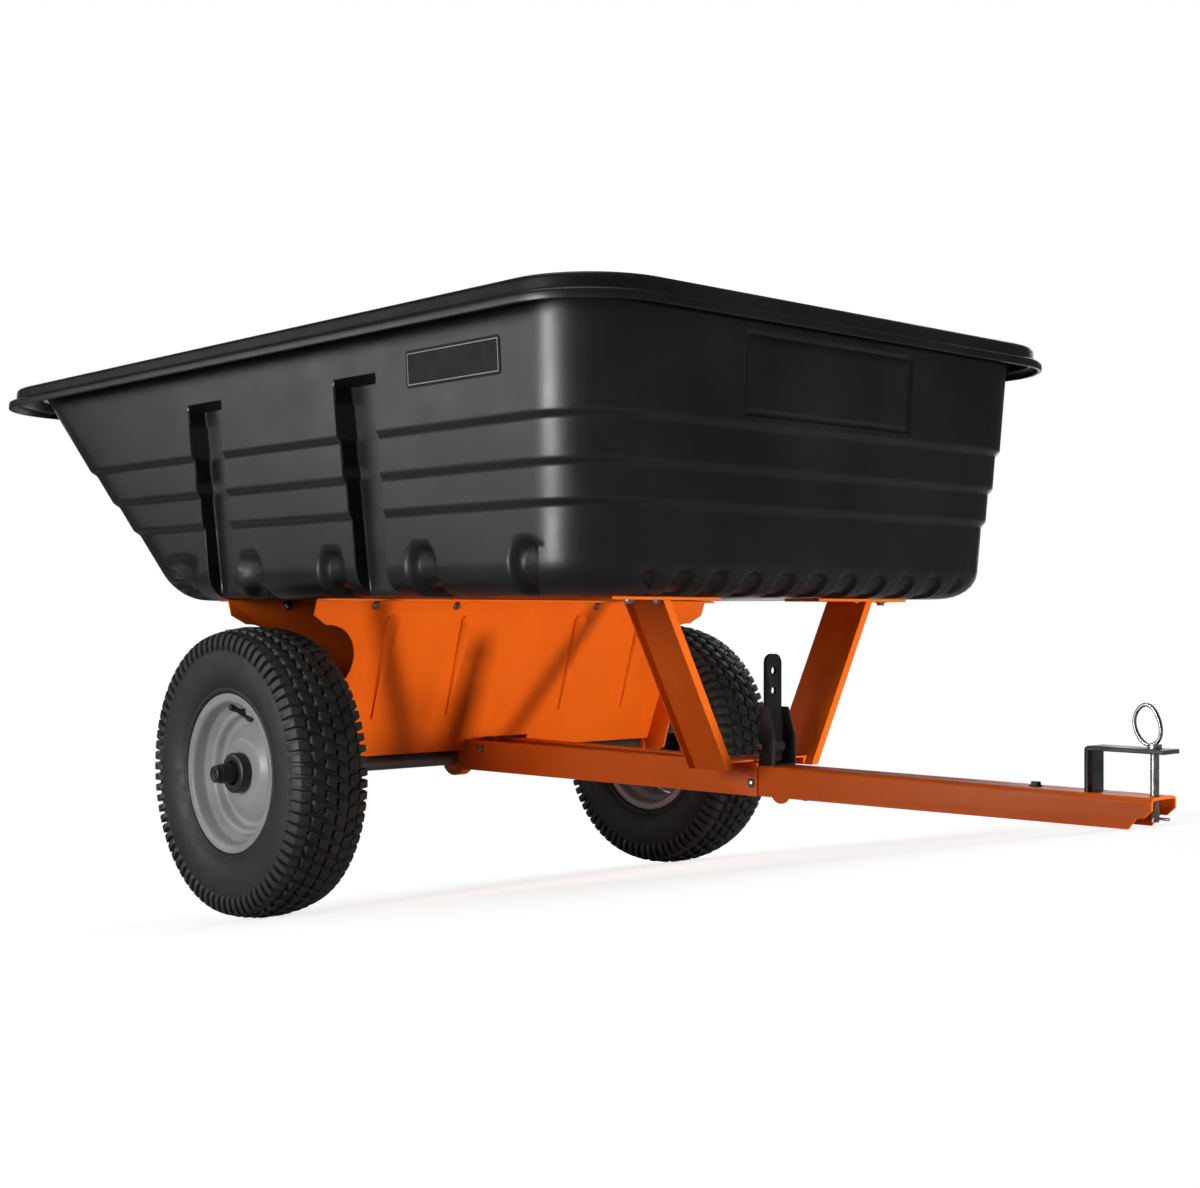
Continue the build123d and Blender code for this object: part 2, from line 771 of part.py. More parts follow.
for side, hand in ((-1, "right"), (1, "left")):
    with BuildPart() as tyre:
        with BuildSketch(wheel_plane(side)):
            tyre_outline(0, bead_place)
        revolve(axis=spin_axis(side))
        with BuildSketch(wheel_plane(side)):
            tyre_outline(tyre_wall, bead_place - bead_width)
        revolve(axis=spin_axis(side), mode=Mode.SUBTRACT)
    tyre.part.label = f"tyre_{hand}"
    export_step(tyre.part.moved(parked), f"parts/tyre_{hand}.step")

    with BuildPart() as wheel_rim:
        with BuildSketch(wheel_plane(side)):
            with BuildLine():
                Polyline(
                    (-bead_place, flange_radius),
                    (-bead_place, bead_radius),
                    (-well_half - drop_depth / 2, bead_radius),
                    (-well_half, drop_radius),
                    (well_half, drop_radius),
                    (well_half + drop_depth / 2, bead_radius),
                    (bead_place, bead_radius),
                    (bead_place, flange_radius),
                )
                offset(amount=rim_sheet, side=Side.RIGHT)
            make_face()
            with BuildLine():
                Polyline(
                    (dish_foot, drop_radius - rim_sheet / 2),
                    (dish_foot, dish_radius),
                    (hub_seat, dish_seat_radius),
                    (hub_seat, hub_radius),
                )
                offset(amount=rim_sheet, side=Side.RIGHT)
            make_face()
        revolve(axis=spin_axis(side))
    wheel_rim.part.label = f"wheel_rim_{hand}"
    export_step(wheel_rim.part.moved(parked), f"parts/wheel_rim_{hand}.step")

    with BuildPart() as hub:
        with BuildSketch(wheel_plane(side)):
            with Locations(((hub_outer - hub_inner) / 2, hub_radius / 2)):
                Rectangle(hub_outer + hub_inner, hub_radius)
            with Locations((hub_outer - hub_flange_thickness / 2, hub_flange_radius / 2)):
                Rectangle(hub_flange_thickness, hub_flange_radius)
            Rectangle(2 * tyre_width, 2 * (axle_radius + running_clearance), mode=Mode.SUBTRACT)
        revolve(axis=spin_axis(side))
    hub.part.label = f"hub_{hand}"
    export_step(hub.part.moved(parked), f"parts/hub_{hand}.step")

    with BuildPart() as hub_cap:
        with BuildSketch(wheel_plane(side)):
            with Locations((hub_outer + cap_length / 2, cap_radius / 2)):
                Rectangle(cap_length, cap_radius)
            with Locations((hub_outer + (cap_length - cap_end_wall) / 2, 0)):
                Rectangle(cap_length - cap_end_wall, 2 * (axle_radius + cap_play), mode=Mode.SUBTRACT)
        revolve(axis=spin_axis(side))
    hub_cap.part.label = f"hub_cap_{hand}"
    export_step(hub_cap.part.moved(parked), f"parts/hub_cap_{hand}.step")

    with BuildPart() as valve:
        with BuildSketch(Plane.XZ.offset(-side * (track / 2 + dish_foot))):
            with Locations((0, tyre_radius + valve_place)):
                Circle(valve_radius)
        extrude(amount=-side * valve_length)
    valve.part.label = f"valve_{hand}"
    export_step(valve.part.moved(parked), f"parts/valve_{hand}.step")
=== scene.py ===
# Looks for the tipping dump trailer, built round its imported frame.
import json
import math

import bmesh
import bpy
import numpy as np
from mathutils import Euler, Matrix, Vector


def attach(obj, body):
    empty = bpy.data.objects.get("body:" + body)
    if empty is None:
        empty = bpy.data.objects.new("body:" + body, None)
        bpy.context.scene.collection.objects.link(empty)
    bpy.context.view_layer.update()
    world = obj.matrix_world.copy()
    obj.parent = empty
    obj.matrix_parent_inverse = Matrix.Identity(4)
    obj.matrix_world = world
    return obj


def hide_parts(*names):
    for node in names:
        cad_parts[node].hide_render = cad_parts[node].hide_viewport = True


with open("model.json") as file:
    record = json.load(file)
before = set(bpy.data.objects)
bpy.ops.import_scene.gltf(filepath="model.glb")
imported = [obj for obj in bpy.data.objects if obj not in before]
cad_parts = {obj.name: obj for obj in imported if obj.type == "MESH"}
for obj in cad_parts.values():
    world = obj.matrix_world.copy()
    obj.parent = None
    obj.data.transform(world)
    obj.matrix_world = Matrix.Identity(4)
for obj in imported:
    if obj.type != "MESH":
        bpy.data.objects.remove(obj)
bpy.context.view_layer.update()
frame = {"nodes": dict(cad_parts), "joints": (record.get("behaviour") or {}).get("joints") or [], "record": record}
print("frame loaded:", len(frame["nodes"]), "nodes")

# The cart is parked nose down. Pieces are made level, with the ground under the axle at the
# origin, and one matrix then parks them.
hitchAxis = Vector(next(m["axis"] for m in frame["record"]["mounts"] if m["name"] == "hitch"))
axlePoint = Vector(next(j["pos_m"] for j in frame["joints"] if j["name"] == "bed_tip"))
parkTurn = Matrix.Rotation(math.atan2(hitchAxis.x, hitchAxis.z), 4, "Y")
park = Matrix.Translation(axlePoint) @ parkTurn @ Matrix.Translation((0, 0, -axlePoint.z))
unpark = park.inverted()
axleHeight = axlePoint.z


def levelBox(node):
    # a node's lowest and highest corners while the cart is held level
    mesh = frame["nodes"][node].data
    points = np.array([unpark @ v.co for v in mesh.vertices])
    return Vector(points.min(0)), Vector(points.max(0))


# view and light

viewFrom = {"place": (2.1152, -1.7058, 0.4207), "heading": 47.21, "lens": 52.04, "rise": 0.0187}
cameraData = bpy.data.cameras.new("camera")
cameraData.lens = viewFrom["lens"]
cameraData.shift_y = viewFrom["rise"]
cameraData.clip_end = 60
camera = bpy.data.objects.new("camera", cameraData)
bpy.context.scene.collection.objects.link(camera)
cameraTurn = Euler((math.radians(90), 0, math.radians(viewFrom["heading"]))).to_matrix().to_4x4()
camera.matrix_world = park @ Matrix.Translation(viewFrom["place"]) @ cameraTurn
bpy.context.scene.camera = camera
bpy.context.scene.view_settings.view_transform = "Standard"

studioLight = {
    "ambient": 0.06,
    "backdrop": 1.0,
    "lamps": (
        # name, place, aim, width, height, watts, shows in gloss, lights surfaces
        ("sideSoft", (-2.3, -2.7, 1.45), (0.2, -0.4, 0.6), 1.6, 0.8, 16, True, False),
        ("cornerStrip", (-0.24, -3.3, 0.70), (0.5, -0.4, 0.6), 0.5, 1.0, 78, True, False),
        ("backCard", (-2.2, 4.0, 0.45), (0.5, 0.0, 0.3), 3.0, 0.7, 26, True, False),
        ("frontKey", (3.60, 0.48, -0.40), (0.0, 0.0, 0.3), 0.25, 0.25, 142, False, True),
        ("sideFill", (0.5, -4.0, 1.0), (0.2, 0.0, 0.3), 2.4, 1.6, 66, False, True),
        ("topSoft", (0.0, -0.2, 4.2), (0.0, 0.0, 0.5), 2.6, 2.6, 34, True, True),
        ("rearSoft", (-3.8, 1.2, 2.2), (0.0, 0.0, 0.5), 2.0, 1.4, 34, True, True),
        ("farSide", (-0.6, 3.8, 2.2), (0.0, 0.3, 0.5), 1.6, 1.4, 34, True, True),
    ),
}
world = bpy.data.worlds.new("studio")
bpy.context.scene.world = world
world.use_nodes = True
studio = world.node_tree.nodes
studio["Background"].inputs["Color"].default_value = (1, 1, 1, 1)
studio["Background"].inputs["Strength"].default_value = studioLight["ambient"]
seen = studio.new("ShaderNodeBackground")  # the white that shows behind the cart
seen.inputs["Color"].default_value = (1, 1, 1, 1)
seen.inputs["Strength"].default_value = studioLight["backdrop"]
either = studio.new("ShaderNodeMixShader")
world.node_tree.links.new(studio.new("ShaderNodeLightPath").outputs["Is Camera Ray"], either.inputs[0])
world.node_tree.links.new(studio["Background"].outputs[0], either.inputs[1])
world.node_tree.links.new(seen.outputs[0], either.inputs[2])
world.node_tree.links.new(either.outputs[0], studio["World Output"].inputs["Surface"])
for name, place, aim, width, height, watts, inGloss, onSurfaces in studioLight["lamps"]:
    lampData = bpy.data.lights.new(name, "AREA")
    lampData.shape = "RECTANGLE"
    lampData.size, lampData.size_y, lampData.energy = width, height, watts
    lamp = bpy.data.objects.new(name, lampData)
    lamp.location = place
    lamp.rotation_euler = (Vector(aim) - Vector(place)).to_track_quat("-Z", "Y").to_euler()
    lamp.visible_glossy, lamp.visible_diffuse = inGloss, onSurfaces
    bpy.context.scene.collection.objects.link(lamp)
print("camera and lamps placed")

# materials


def newMaterial(name):
    material = bpy.data.materials.new(name)
    material.use_nodes = True
    return material, material.node_tree, material.node_tree.nodes["Principled BSDF"]


def addNode(tree, kind, values=None, **settings):
    node = tree.nodes.new(kind)
    for key, value in settings.items():
        setattr(node, key, value)
    for key, value in (values or {}).items():
        node.inputs[key].default_value = value
    return node


def link(tree, source, target):
    tree.links.new(source, target)


def patternNoise(tree, scale, detail=3, stretch=(1, 1, 1)):
    # noise in object space, so that it stays on the piece; stretch squeezes it along an axis
    place = addNode(tree, "ShaderNodeTexCoord")
    mapping = addNode(tree, "ShaderNodeMapping", {"Scale": stretch})
    noise = addNode(tree, "ShaderNodeTexNoise", {"Scale": scale, "Detail": detail})
    link(tree, place.outputs["Object"], mapping.inputs["Vector"])
    link(tree, mapping.outputs["Vector"], noise.inputs["Vector"])
    return noise.outputs["Fac"]


def shadeRamp(tree, source, low, high, darker, lighter):
    ramp = addNode(tree, "ShaderNodeValToRGB")
    ramp.color_ramp.elements[0].position = low
    ramp.color_ramp.elements[1].position = high
    ramp.color_ramp.elements[0].color = (*darker, 1)
    ramp.color_ramp.elements[1].color = (*lighter, 1)
    link(tree, source, ramp.inputs["Fac"])
    return ramp.outputs["Color"]


def spanOf(tree, source, low, high, toLow, toHigh):
    span = addNode(tree, "ShaderNodeMapRange", {"From Min": low, "From Max": high, "To Min": toLow, "To Max": toHigh})
    link(tree, source, span.inputs["Value"])
    return span.outputs["Result"]


def stackBumps(tree, shader, layers):
    # each layer is (height, distance in metres, strength)
    before = None
    for height, distance, strength in layers:
        bump = addNode(tree, "ShaderNodeBump", {"Distance": distance, "Strength": strength})
        link(tree, height, bump.inputs["Height"])
        if before:
            link(tree, before, bump.inputs["Normal"])
        before = bump.outputs["Normal"]
    link(tree, before, shader.inputs["Normal"])


def finishMaterial(values):
    # one recipe for all finishes: blotched colour, worn edges, uneven gloss and two bumps
    material, tree, shader = newMaterial(values["name"])
    blotch = patternNoise(tree, values["blotchScale"], 4, values.get("stretch", (1, 1, 1)))
    colour = shadeRamp(tree, blotch, 0.35, 0.65, values["darker"], values["lighter"])
    edge = addNode(tree, "ShaderNodeNewGeometry").outputs["Pointiness"]
    wear = addNode(tree, "ShaderNodeMath", operation="MULTIPLY")
    link(tree, spanOf(tree, edge, 0.52, 0.6, 0.0, values["wear"]), wear.inputs[0])
    link(tree, patternNoise(tree, values["blotchScale"] * 9, 2), wear.inputs[1])
    worn = addNode(tree, "ShaderNodeMix", {"B": (*values["edge"], 1)}, data_type="RGBA")
    link(tree, wear.outputs["Value"], worn.inputs["Factor"])
    link(tree, colour, worn.inputs["A"])
    link(tree, worn.outputs["Result"], shader.inputs["Base Color"])
    shader.inputs["Metallic"].default_value = values.get("metallic", 0)
    shader.inputs["Specular IOR Level"].default_value = values.get("specular", 0.5)
    shader.inputs["Coat Weight"].default_value = values.get("coat", 0)
    shader.inputs["Coat Roughness"].default_value = values.get("coatRoughness", 0.2)
    gloss = patternNoise(tree, values["glossScale"], 5, values.get("stretch", (1, 1, 1)))
    link(tree, spanOf(tree, gloss, 0.3, 0.7, *values["roughness"]), shader.inputs["Roughness"])
    grain = patternNoise(tree, values["grainScale"], 2)
    wave = patternNoise(tree, values["waveScale"], 1)
    stackBumps(tree, shader, [(wave, values["waveDepth"], 0.6), (grain, values["grainDepth"], 0.5)])
    return material


finishes = {
    "black_poly": {
        "darker": (0.004, 0.004, 0.0045), "lighter": (0.008, 0.008, 0.0085), "edge": (0.04, 0.04, 0.04), "wear": 0.5,
        "roughness": (0.34, 0.44), "blotchScale": 5, "glossScale": 14, "grainScale": 900, "grainDepth": 0.00025,
        "waveScale": 7, "waveDepth": 0.002},
    "orange_paint": {
        "darker": (0.68, 0.098, 0.005), "lighter": (0.76, 0.116, 0.007), "edge": (0.86, 0.22, 0.03), "wear": 0.6,
        "roughness": (0.40, 0.52), "specular": 0.14, "blotchScale": 6, "glossScale": 30, "grainScale": 650,
        "grainDepth": 0.0002,
        "waveScale": 25, "waveDepth": 0.0003},
    "rim_paint": {
        "darker": (0.38, 0.385, 0.39), "lighter": (0.47, 0.475, 0.48), "edge": (0.62, 0.62, 0.62), "wear": 0.7,
        "roughness": (0.28, 0.42), "blotchScale": 14, "glossScale": 40, "grainScale": 1500, "grainDepth": 0.0001,
        "waveScale": 30, "waveDepth": 0.0004, "specular": 0.25},
    "tyre_rubber": {
        "darker": (0.006, 0.006, 0.006), "lighter": (0.012, 0.012, 0.0115), "edge": (0.03, 0.03, 0.029), "wear": 0.8,
        "roughness": (0.52, 0.70), "blotchScale": 22, "glossScale": 60, "grainScale": 1100, "grainDepth": 0.0003,
        "waveScale": 60, "waveDepth": 0.0003},
    "hub_plastic": {
        "darker": (0.010, 0.010, 0.011), "lighter": (0.017, 0.017, 0.018), "edge": (0.05, 0.05, 0.05), "wear": 0.6,
        "roughness": (0.34, 0.48), "blotchScale": 30, "glossScale": 60, "grainScale": 1300, "grainDepth": 0.0002,
        "waveScale": 40, "waveDepth": 0.0003},
    "valve_rubber": {
        "darker": (0.012, 0.012, 0.012), "lighter": (0.020, 0.020, 0.020), "edge": (0.05, 0.05, 0.05), "wear": 0.4,
        "roughness": (0.55, 0.68), "blotchScale": 60, "glossScale": 90, "grainScale": 1500, "grainDepth": 0.0002,
        "waveScale": 90, "waveDepth": 0.0002},
    "black_paint": {
        "darker": (0.006, 0.006, 0.0065), "lighter": (0.011, 0.011, 0.0115), "edge": (0.08, 0.08, 0.08), "wear": 0.6,
        "roughness": (0.38, 0.50), "specular": 0.25, "blotchScale": 18, "glossScale": 50, "grainScale": 800,
        "grainDepth": 0.0002,
        "waveScale": 30, "waveDepth": 0.0003},
    "zinc": {
        "darker": (0.30, 0.30, 0.295), "lighter": (0.44, 0.44, 0.43), "edge": (0.70, 0.70, 0.68), "wear": 0.5,
        "roughness": (0.22, 0.38), "blotchScale": 90, "glossScale": 160, "grainScale": 1800, "grainDepth": 0.0001,
        "waveScale": 120, "waveDepth": 0.0002, "metallic": 1.0},
    "bare_steel": {
        "darker": (0.13, 0.14, 0.15), "lighter": (0.22, 0.23, 0.24), "edge": (0.40, 0.41, 0.42), "wear": 0.5,
        "roughness": (0.28, 0.44), "blotchScale": 30, "glossScale": 90, "grainScale": 1600, "grainDepth": 0.0001,
        "waveScale": 60, "waveDepth": 0.0002, "metallic": 0.9, "stretch": (1, 0.08, 1)},
}
materials = {name: finishMaterial({"name": name, **values}) for name, values in finishes.items()}


def labelMaterial(values):
    # a blank film label: dark ground with a pale keyline, drawn across the plate's own box
    material, tree, shader = newMaterial("label")
    place = addNode(tree, "ShaderNodeUVMap", uv_map="plate")
    split = addNode(tree, "ShaderNodeSeparateXYZ")
    link(tree, place.outputs["UV"], split.inputs["Vector"])
    edges = []
    for side, length in (("X", values["length"]), ("Y", values["height"])):
        away = addNode(tree, "ShaderNodeMath", {1: 0.5}, operation="SUBTRACT")
        link(tree, split.outputs[side], away.inputs[0])
        size = addNode(tree, "ShaderNodeMath", operation="ABSOLUTE")
        link(tree, away.outputs[0], size.inputs[0])
        edges.append(spanOf(tree, size.outputs[0], 0, 0.5, -length / 2, 0))
    nearest = addNode(tree, "ShaderNodeMath", operation="MAXIMUM")
    link(tree, edges[0], nearest.inputs[0])
    link(tree, edges[1], nearest.inputs[1])
    line = addNode(tree, "ShaderNodeMath", {1: -values["inset"], 2: values["line"]}, operation="COMPARE")
    link(tree, nearest.outputs[0], line.inputs[0])
    ground = shadeRamp(tree, patternNoise(tree, 60), 0.3, 0.7, (0.003, 0.003, 0.003), (0.006, 0.006, 0.006))
    mix = addNode(tree, "ShaderNodeMix", {"B": (*values["ink"], 1)}, data_type="RGBA")
    link(tree, line.outputs[0], mix.inputs["Factor"])
    link(tree, ground, mix.inputs["A"])
    link(tree, mix.outputs["Result"], shader.inputs["Base Color"])
    link(tree, spanOf(tree, patternNoise(tree, 40), 0.3, 0.7, 0.5, 0.6), shader.inputs["Roughness"])
    shader.inputs["Specular IOR Level"].default_value = 0.2
    stackBumps(tree, shader, [(patternNoise(tree, 30), 0.0004, 0.3)])
    return material


def floorMaterial(values):
    # a pale floor that takes soft shadows near the cart and fades into the white of the studio
    material, tree, shader = newMaterial("studioFloor")
    place = addNode(tree, "ShaderNodeTexCoord")
    length = addNode(tree, "ShaderNodeVectorMath", operation="LENGTH")
    link(tree, place.outputs["Object"], length.inputs[0])
    shader.inputs["Base Color"].default_value = (*values["colour"], 1)
    shader.inputs["Roughness"].default_value = 0.9
    shader.inputs["Specular IOR Level"].default_value = 0
    shader.inputs["Emission Color"].default_value = (1, 1, 1, 1)
    glow = addNode(tree, "ShaderNodeEmission", {"Color": (1, 1, 1, 1), "Strength": 1.0})
    ray = addNode(tree, "ShaderNodeLightPath")
    lift = spanOf(tree, ray.outputs["Is Camera Ray"], 0, 1, 0, values["lift"])
    link(tree, lift, shader.inputs["Emission Strength"])
    blend = addNode(tree, "ShaderNodeMixShader")
    fade = addNode(tree, "ShaderNodeMath", operation="MULTIPLY")
    link(tree, spanOf(tree, length.outputs["Value"], values["near"], values["far"], 0, 1), fade.inputs[0])
    link(tree, ray.outputs["Is Camera Ray"], fade.inputs[1])
    link(tree, fade.outputs[0], blend.inputs[0])
    link(tree, shader.outputs[0], blend.inputs[1])
    link(tree, glow.outputs[0], blend.inputs[2])
    link(tree, blend.outputs[0], tree.nodes["Material Output"].inputs["Surface"])
    return material


print("materials made:", len(materials))

# mesh helpers


def meshPiece(name, vertices, faces, body, slotName):
    mesh = bpy.data.meshes.new(name)
    mesh.from_pydata([tuple(v) for v in vertices], [], faces)
    return finishPiece(name, mesh, body, slotName)


def finishPiece(name, mesh, body, slotName, isLevel=True):
    # parks the mesh, gives it its finish and hangs it on its body
    if isLevel:
        mesh.transform(park)
    mesh.materials.clear()
    mesh.materials.append(materials[slotName])
    mesh.polygons.foreach_set("use_smooth", [True] * len(mesh.polygons))
    piece = bpy.data.objects.new(name, mesh)
    bpy.context.scene.collection.objects.link(piece)
    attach(piece, body)
    return piece


def sharpEdges(mesh, degrees):
    # smooth shading that breaks at edges sharper than this
    mesh.set_sharp_from_angle(angle=math.radians(degrees))


def lathe(profile, centre, steps):
    # turns a closed (across, radius) profile about the Y line through centre
    ring = np.linspace(0, 2 * math.pi, steps, endpoint=False)
    vertices, faces = [], []
    count = len(profile)
    for angle in ring:
        for across, radius in profile:
            x, z = centre[0] + radius * math.sin(angle), centre[2] + radius * math.cos(angle)
            vertices.append((x, centre[1] + across, z))
    for i in range(steps):
        for j in range(count):
            a, b = i * count + j, i * count + (j + 1) % count
            c, d = ((i + 1) % steps) * count + (j + 1) % count, ((i + 1) % steps) * count + j
            faces.append((a, b, c, d))
    mesh = bpy.data.meshes.new("lathe")
    mesh.from_pydata(vertices, [], faces)
    tidyNormals(mesh)
    return mesh


def tidyNormals(mesh, gap=1e-6):
    work = bmesh.new()
    work.from_mesh(mesh)
    bmesh.ops.remove_doubles(work, verts=work.verts, dist=gap)
    bmesh.ops.dissolve_degenerate(work, edges=work.edges, dist=gap)
    bmesh.ops.recalc_face_normals(work, faces=work.faces)
    work.to_mesh(mesh)
    work.free()


def roundCorners(points, radius, steps=4, closed=True):
    # rounds each corner of a polyline; radius may be one number or one for each point
    result = []
    count = len(points)
    radii = radius if hasattr(radius, "__len__") else [radius] * count
    for i, point in enumerate(points):
        here = Vector(point)
        if radii[i] <= 0 or (not closed and i in (0, count - 1)):
            result.append(tuple(here))
            continue
        back, ahead = Vector(points[i - 1]) - here, Vector(points[(i + 1) % count]) - here
        reach = min(radii[i], back.length * 0.45, ahead.length * 0.45)
        start, end = here + back.normalized() * reach, here + ahead.normalized() * reach
        for k in range(steps + 1):
            t = k / steps
            result.append(tuple((1 - t) ** 2 * start + 2 * t * (1 - t) * here + t * t * end))
    return result


def softenedCopy(node, width, body, slotName, angle=35):
    # a copy of a CAD node's mesh, welded into clean faces, with its edges broken
    mesh = frame["nodes"][node].data.copy()
    work = bmesh.new()
    work.from_mesh(mesh)
    bmesh.ops.remove_doubles(work, verts=work.verts, dist=2e-5)
    bmesh.ops.dissolve_limit(work, angle_limit=math.radians(1), verts=work.verts, edges=work.edges)
    work.to_mesh(mesh)
    work.free()
    piece = finishPiece(node + "_soft", mesh, body, slotName, isLevel=False)
    bevel = piece.modifiers.new("edges", "BEVEL")
    bevel.width, bevel.segments, bevel.limit_method = width, 2, "ANGLE"
    bevel.angle_limit = math.radians(angle)
    bevel.use_clamp_overlap = True
    bevel.harden_normals = True
    piece.data = bpy.data.meshes.new_from_object(piece.evaluated_get(bpy.context.evaluated_depsgraph_get()))
    piece.modifiers.clear()
    sharpEdges(piece.data, angle)
    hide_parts(node)
    return piece


# geometry node trees


def nodeTree(name, sockets):
    tree = bpy.data.node_groups.new(name, "GeometryNodeTree")
    tree.is_modifier = True
    tree.interface.new_socket("Geometry", in_out="INPUT", socket_type="NodeSocketGeometry")
    for label, kind in sockets:
        tree.interface.new_socket(label, in_out="INPUT", socket_type="NodeSocket" + kind)
    tree.interface.new_socket("Geometry", in_out="OUTPUT", socket_type="NodeSocketGeometry")
    return tree, tree.nodes.new("NodeGroupInput"), tree.nodes.new("NodeGroupOutput")


def runTree(piece, tree, values):
    # sets the inputs by identifier, then keeps the result as a plain mesh
    modifier = piece.modifiers.new(tree.name, "NODES")
    modifier.node_group = tree
    ids = {s.name: s.identifier for s in tree.interface.items_tree if s.in_out == "INPUT"}
    for label, value in values.items():
        modifier[ids[label]] = value
    graph = bpy.context.evaluated_depsgraph_get()
    mesh = bpy.data.meshes.new_from_object(piece.evaluated_get(graph))
    piece.modifiers.remove(modifier)
    return mesh


def hiddenTool(name, mesh):
    # an object that only feeds a tree, and is removed after it
    tool = bpy.data.objects.new(name, mesh)
    bpy.context.scene.collection.objects.link(tool)
    return tool


def dropTool(tool):
    bpy.data.objects.remove(tool, do_unlink=True)


def treadTree():
    # lugs in columns round the wheel, each column half a pitch on from the last
    tree, source, result = nodeTree("treadLugs", [
        ("Lug", "Object"), ("Shoulder", "Object"), ("Count", "Int"), ("Columns", "Int"), ("Radius", "Float"),
        ("Spacing", "Float"), ("Crown", "Float"), ("Material", "Material")])
    n = tree.nodes.new

    def calc(operation, a, b=None):
        node = n("ShaderNodeMath")
        node.operation = operation
        for socket, value in ((node.inputs[0], a), (node.inputs[1], b)):
            if value is None:
                continue
            if isinstance(value, (int, float)):
                socket.default_value = value
            else:
                tree.links.new(value, socket)
        return node.outputs[0]

    inputs = source.outputs
    total = calc("MULTIPLY", inputs["Count"], inputs["Columns"])
    line = n("GeometryNodeMeshLine")
    tree.links.new(total, line.inputs["Count"])
    index = n("GeometryNodeInputIndex").outputs[0]
    column = calc("FLOOR", calc("DIVIDE", calc("ADD", index, 0.5), inputs["Count"]))
    half = calc("DIVIDE", calc("SUBTRACT", inputs["Columns"], 1), 2)
    across = calc("MULTIPLY", calc("SUBTRACT", column, half), inputs["Spacing"])
    shift = calc("MULTIPLY", calc("MODULO", column, 2), 0.5)
    angle = calc("MULTIPLY", calc("DIVIDE", calc("ADD", index, shift), inputs["Count"]), 2 * math.pi)
    share = calc("DIVIDE", calc("SUBTRACT", column, half), half)
    drop = calc("MULTIPLY", calc("MULTIPLY", share, share), inputs["Crown"])
    radius = calc("SUBTRACT", inputs["Radius"], drop)
    spot = n("ShaderNodeCombineXYZ")
    tree.links.new(calc("MULTIPLY", radius, calc("SINE", angle)), spot.inputs["X"])
    tree.links.new(across, spot.inputs["Y"])
    tree.links.new(calc("MULTIPLY", radius, calc("COSINE", angle)), spot.inputs["Z"])
    move = n("GeometryNodeSetPosition")
    tree.links.new(line.outputs[0], move.inputs["Geometry"])
    tree.links.new(spot.outputs[0], move.inputs["Position"])
    turn = n("ShaderNodeCombineXYZ")
    tree.links.new(angle, turn.inputs["Y"])
    isRim = calc("GREATER_THAN", calc("ABSOLUTE", share), 0.9)
    isFar = calc("GREATER_THAN", share, 0.9)
    flip = calc("SUBTRACT", 1, calc("MULTIPLY", isFar, 2))
    size = n("ShaderNodeCombineXYZ")
    size.inputs["X"].default_value = 1
    size.inputs["Z"].default_value = 1
    tree.links.new(flip, size.inputs["Y"])
    joined = n("GeometryNodeJoinGeometry")
    for label, keep in (("Lug", calc("SUBTRACT", 1, isRim)), ("Shoulder", isRim)):
        info = n("GeometryNodeObjectInfo")
        tree.links.new(inputs[label], info.inputs["Object"])
        spread = n("GeometryNodeInstanceOnPoints")
        tree.links.new(move.outputs[0], spread.inputs["Points"])
        tree.links.new(keep, spread.inputs["Selection"])
        tree.links.new(info.outputs["Geometry"], spread.inputs["Instance"])
        tree.links.new(turn.outputs[0], spread.inputs["Rotation"])
        if label == "Shoulder":
            tree.links.new(size.outputs[0], spread.inputs["Scale"])
        tree.links.new(spread.outputs[0], joined.inputs[0])
    real = n("GeometryNodeRealizeInstances")
    paint = n("GeometryNodeSetMaterial")
    tree.links.new(joined.outputs[0], real.inputs[0])
    tree.links.new(real.outputs[0], paint.inputs["Geometry"])
    tree.links.new(inputs["Material"], paint.inputs["Material"])
    tree.links.new(paint.outputs[0], result.inputs[0])
    return tree


def placingTree():
    # one part on each point, turned by the point's own angles
    tree, source, result = nodeTree("placedParts", [("Part", "Object"), ("Size", "Float"), ("Material", "Material")])
    n = tree.nodes.new
    info = n("GeometryNodeObjectInfo")
    turn = n("GeometryNodeInputNamedAttribute")
    turn.data_type = "FLOAT_VECTOR"
    turn.inputs["Name"].default_value = "turn"
    spread = n("GeometryNodeInstanceOnPoints")
    real = n("GeometryNodeRealizeInstances")
    paint = n("GeometryNodeSetMaterial")
    tree.links.new(source.outputs["Part"], info.inputs["Object"])
    tree.links.new(source.outputs["Geometry"], spread.inputs["Points"])
    tree.links.new(info.outputs["Geometry"], spread.inputs["Instance"])
    tree.links.new(turn.outputs["Attribute"], spread.inputs["Rotation"])
    tree.links.new(source.outputs["Size"], spread.inputs["Scale"])
    tree.links.new(spread.outputs[0], real.inputs[0])
    tree.links.new(real.outputs[0], paint.inputs["Geometry"])
    tree.links.new(source.outputs["Material"], paint.inputs["Material"])
    tree.links.new(paint.outputs[0], result.inputs[0])
    return tree


lugTree, partTree = treadTree(), placingTree()


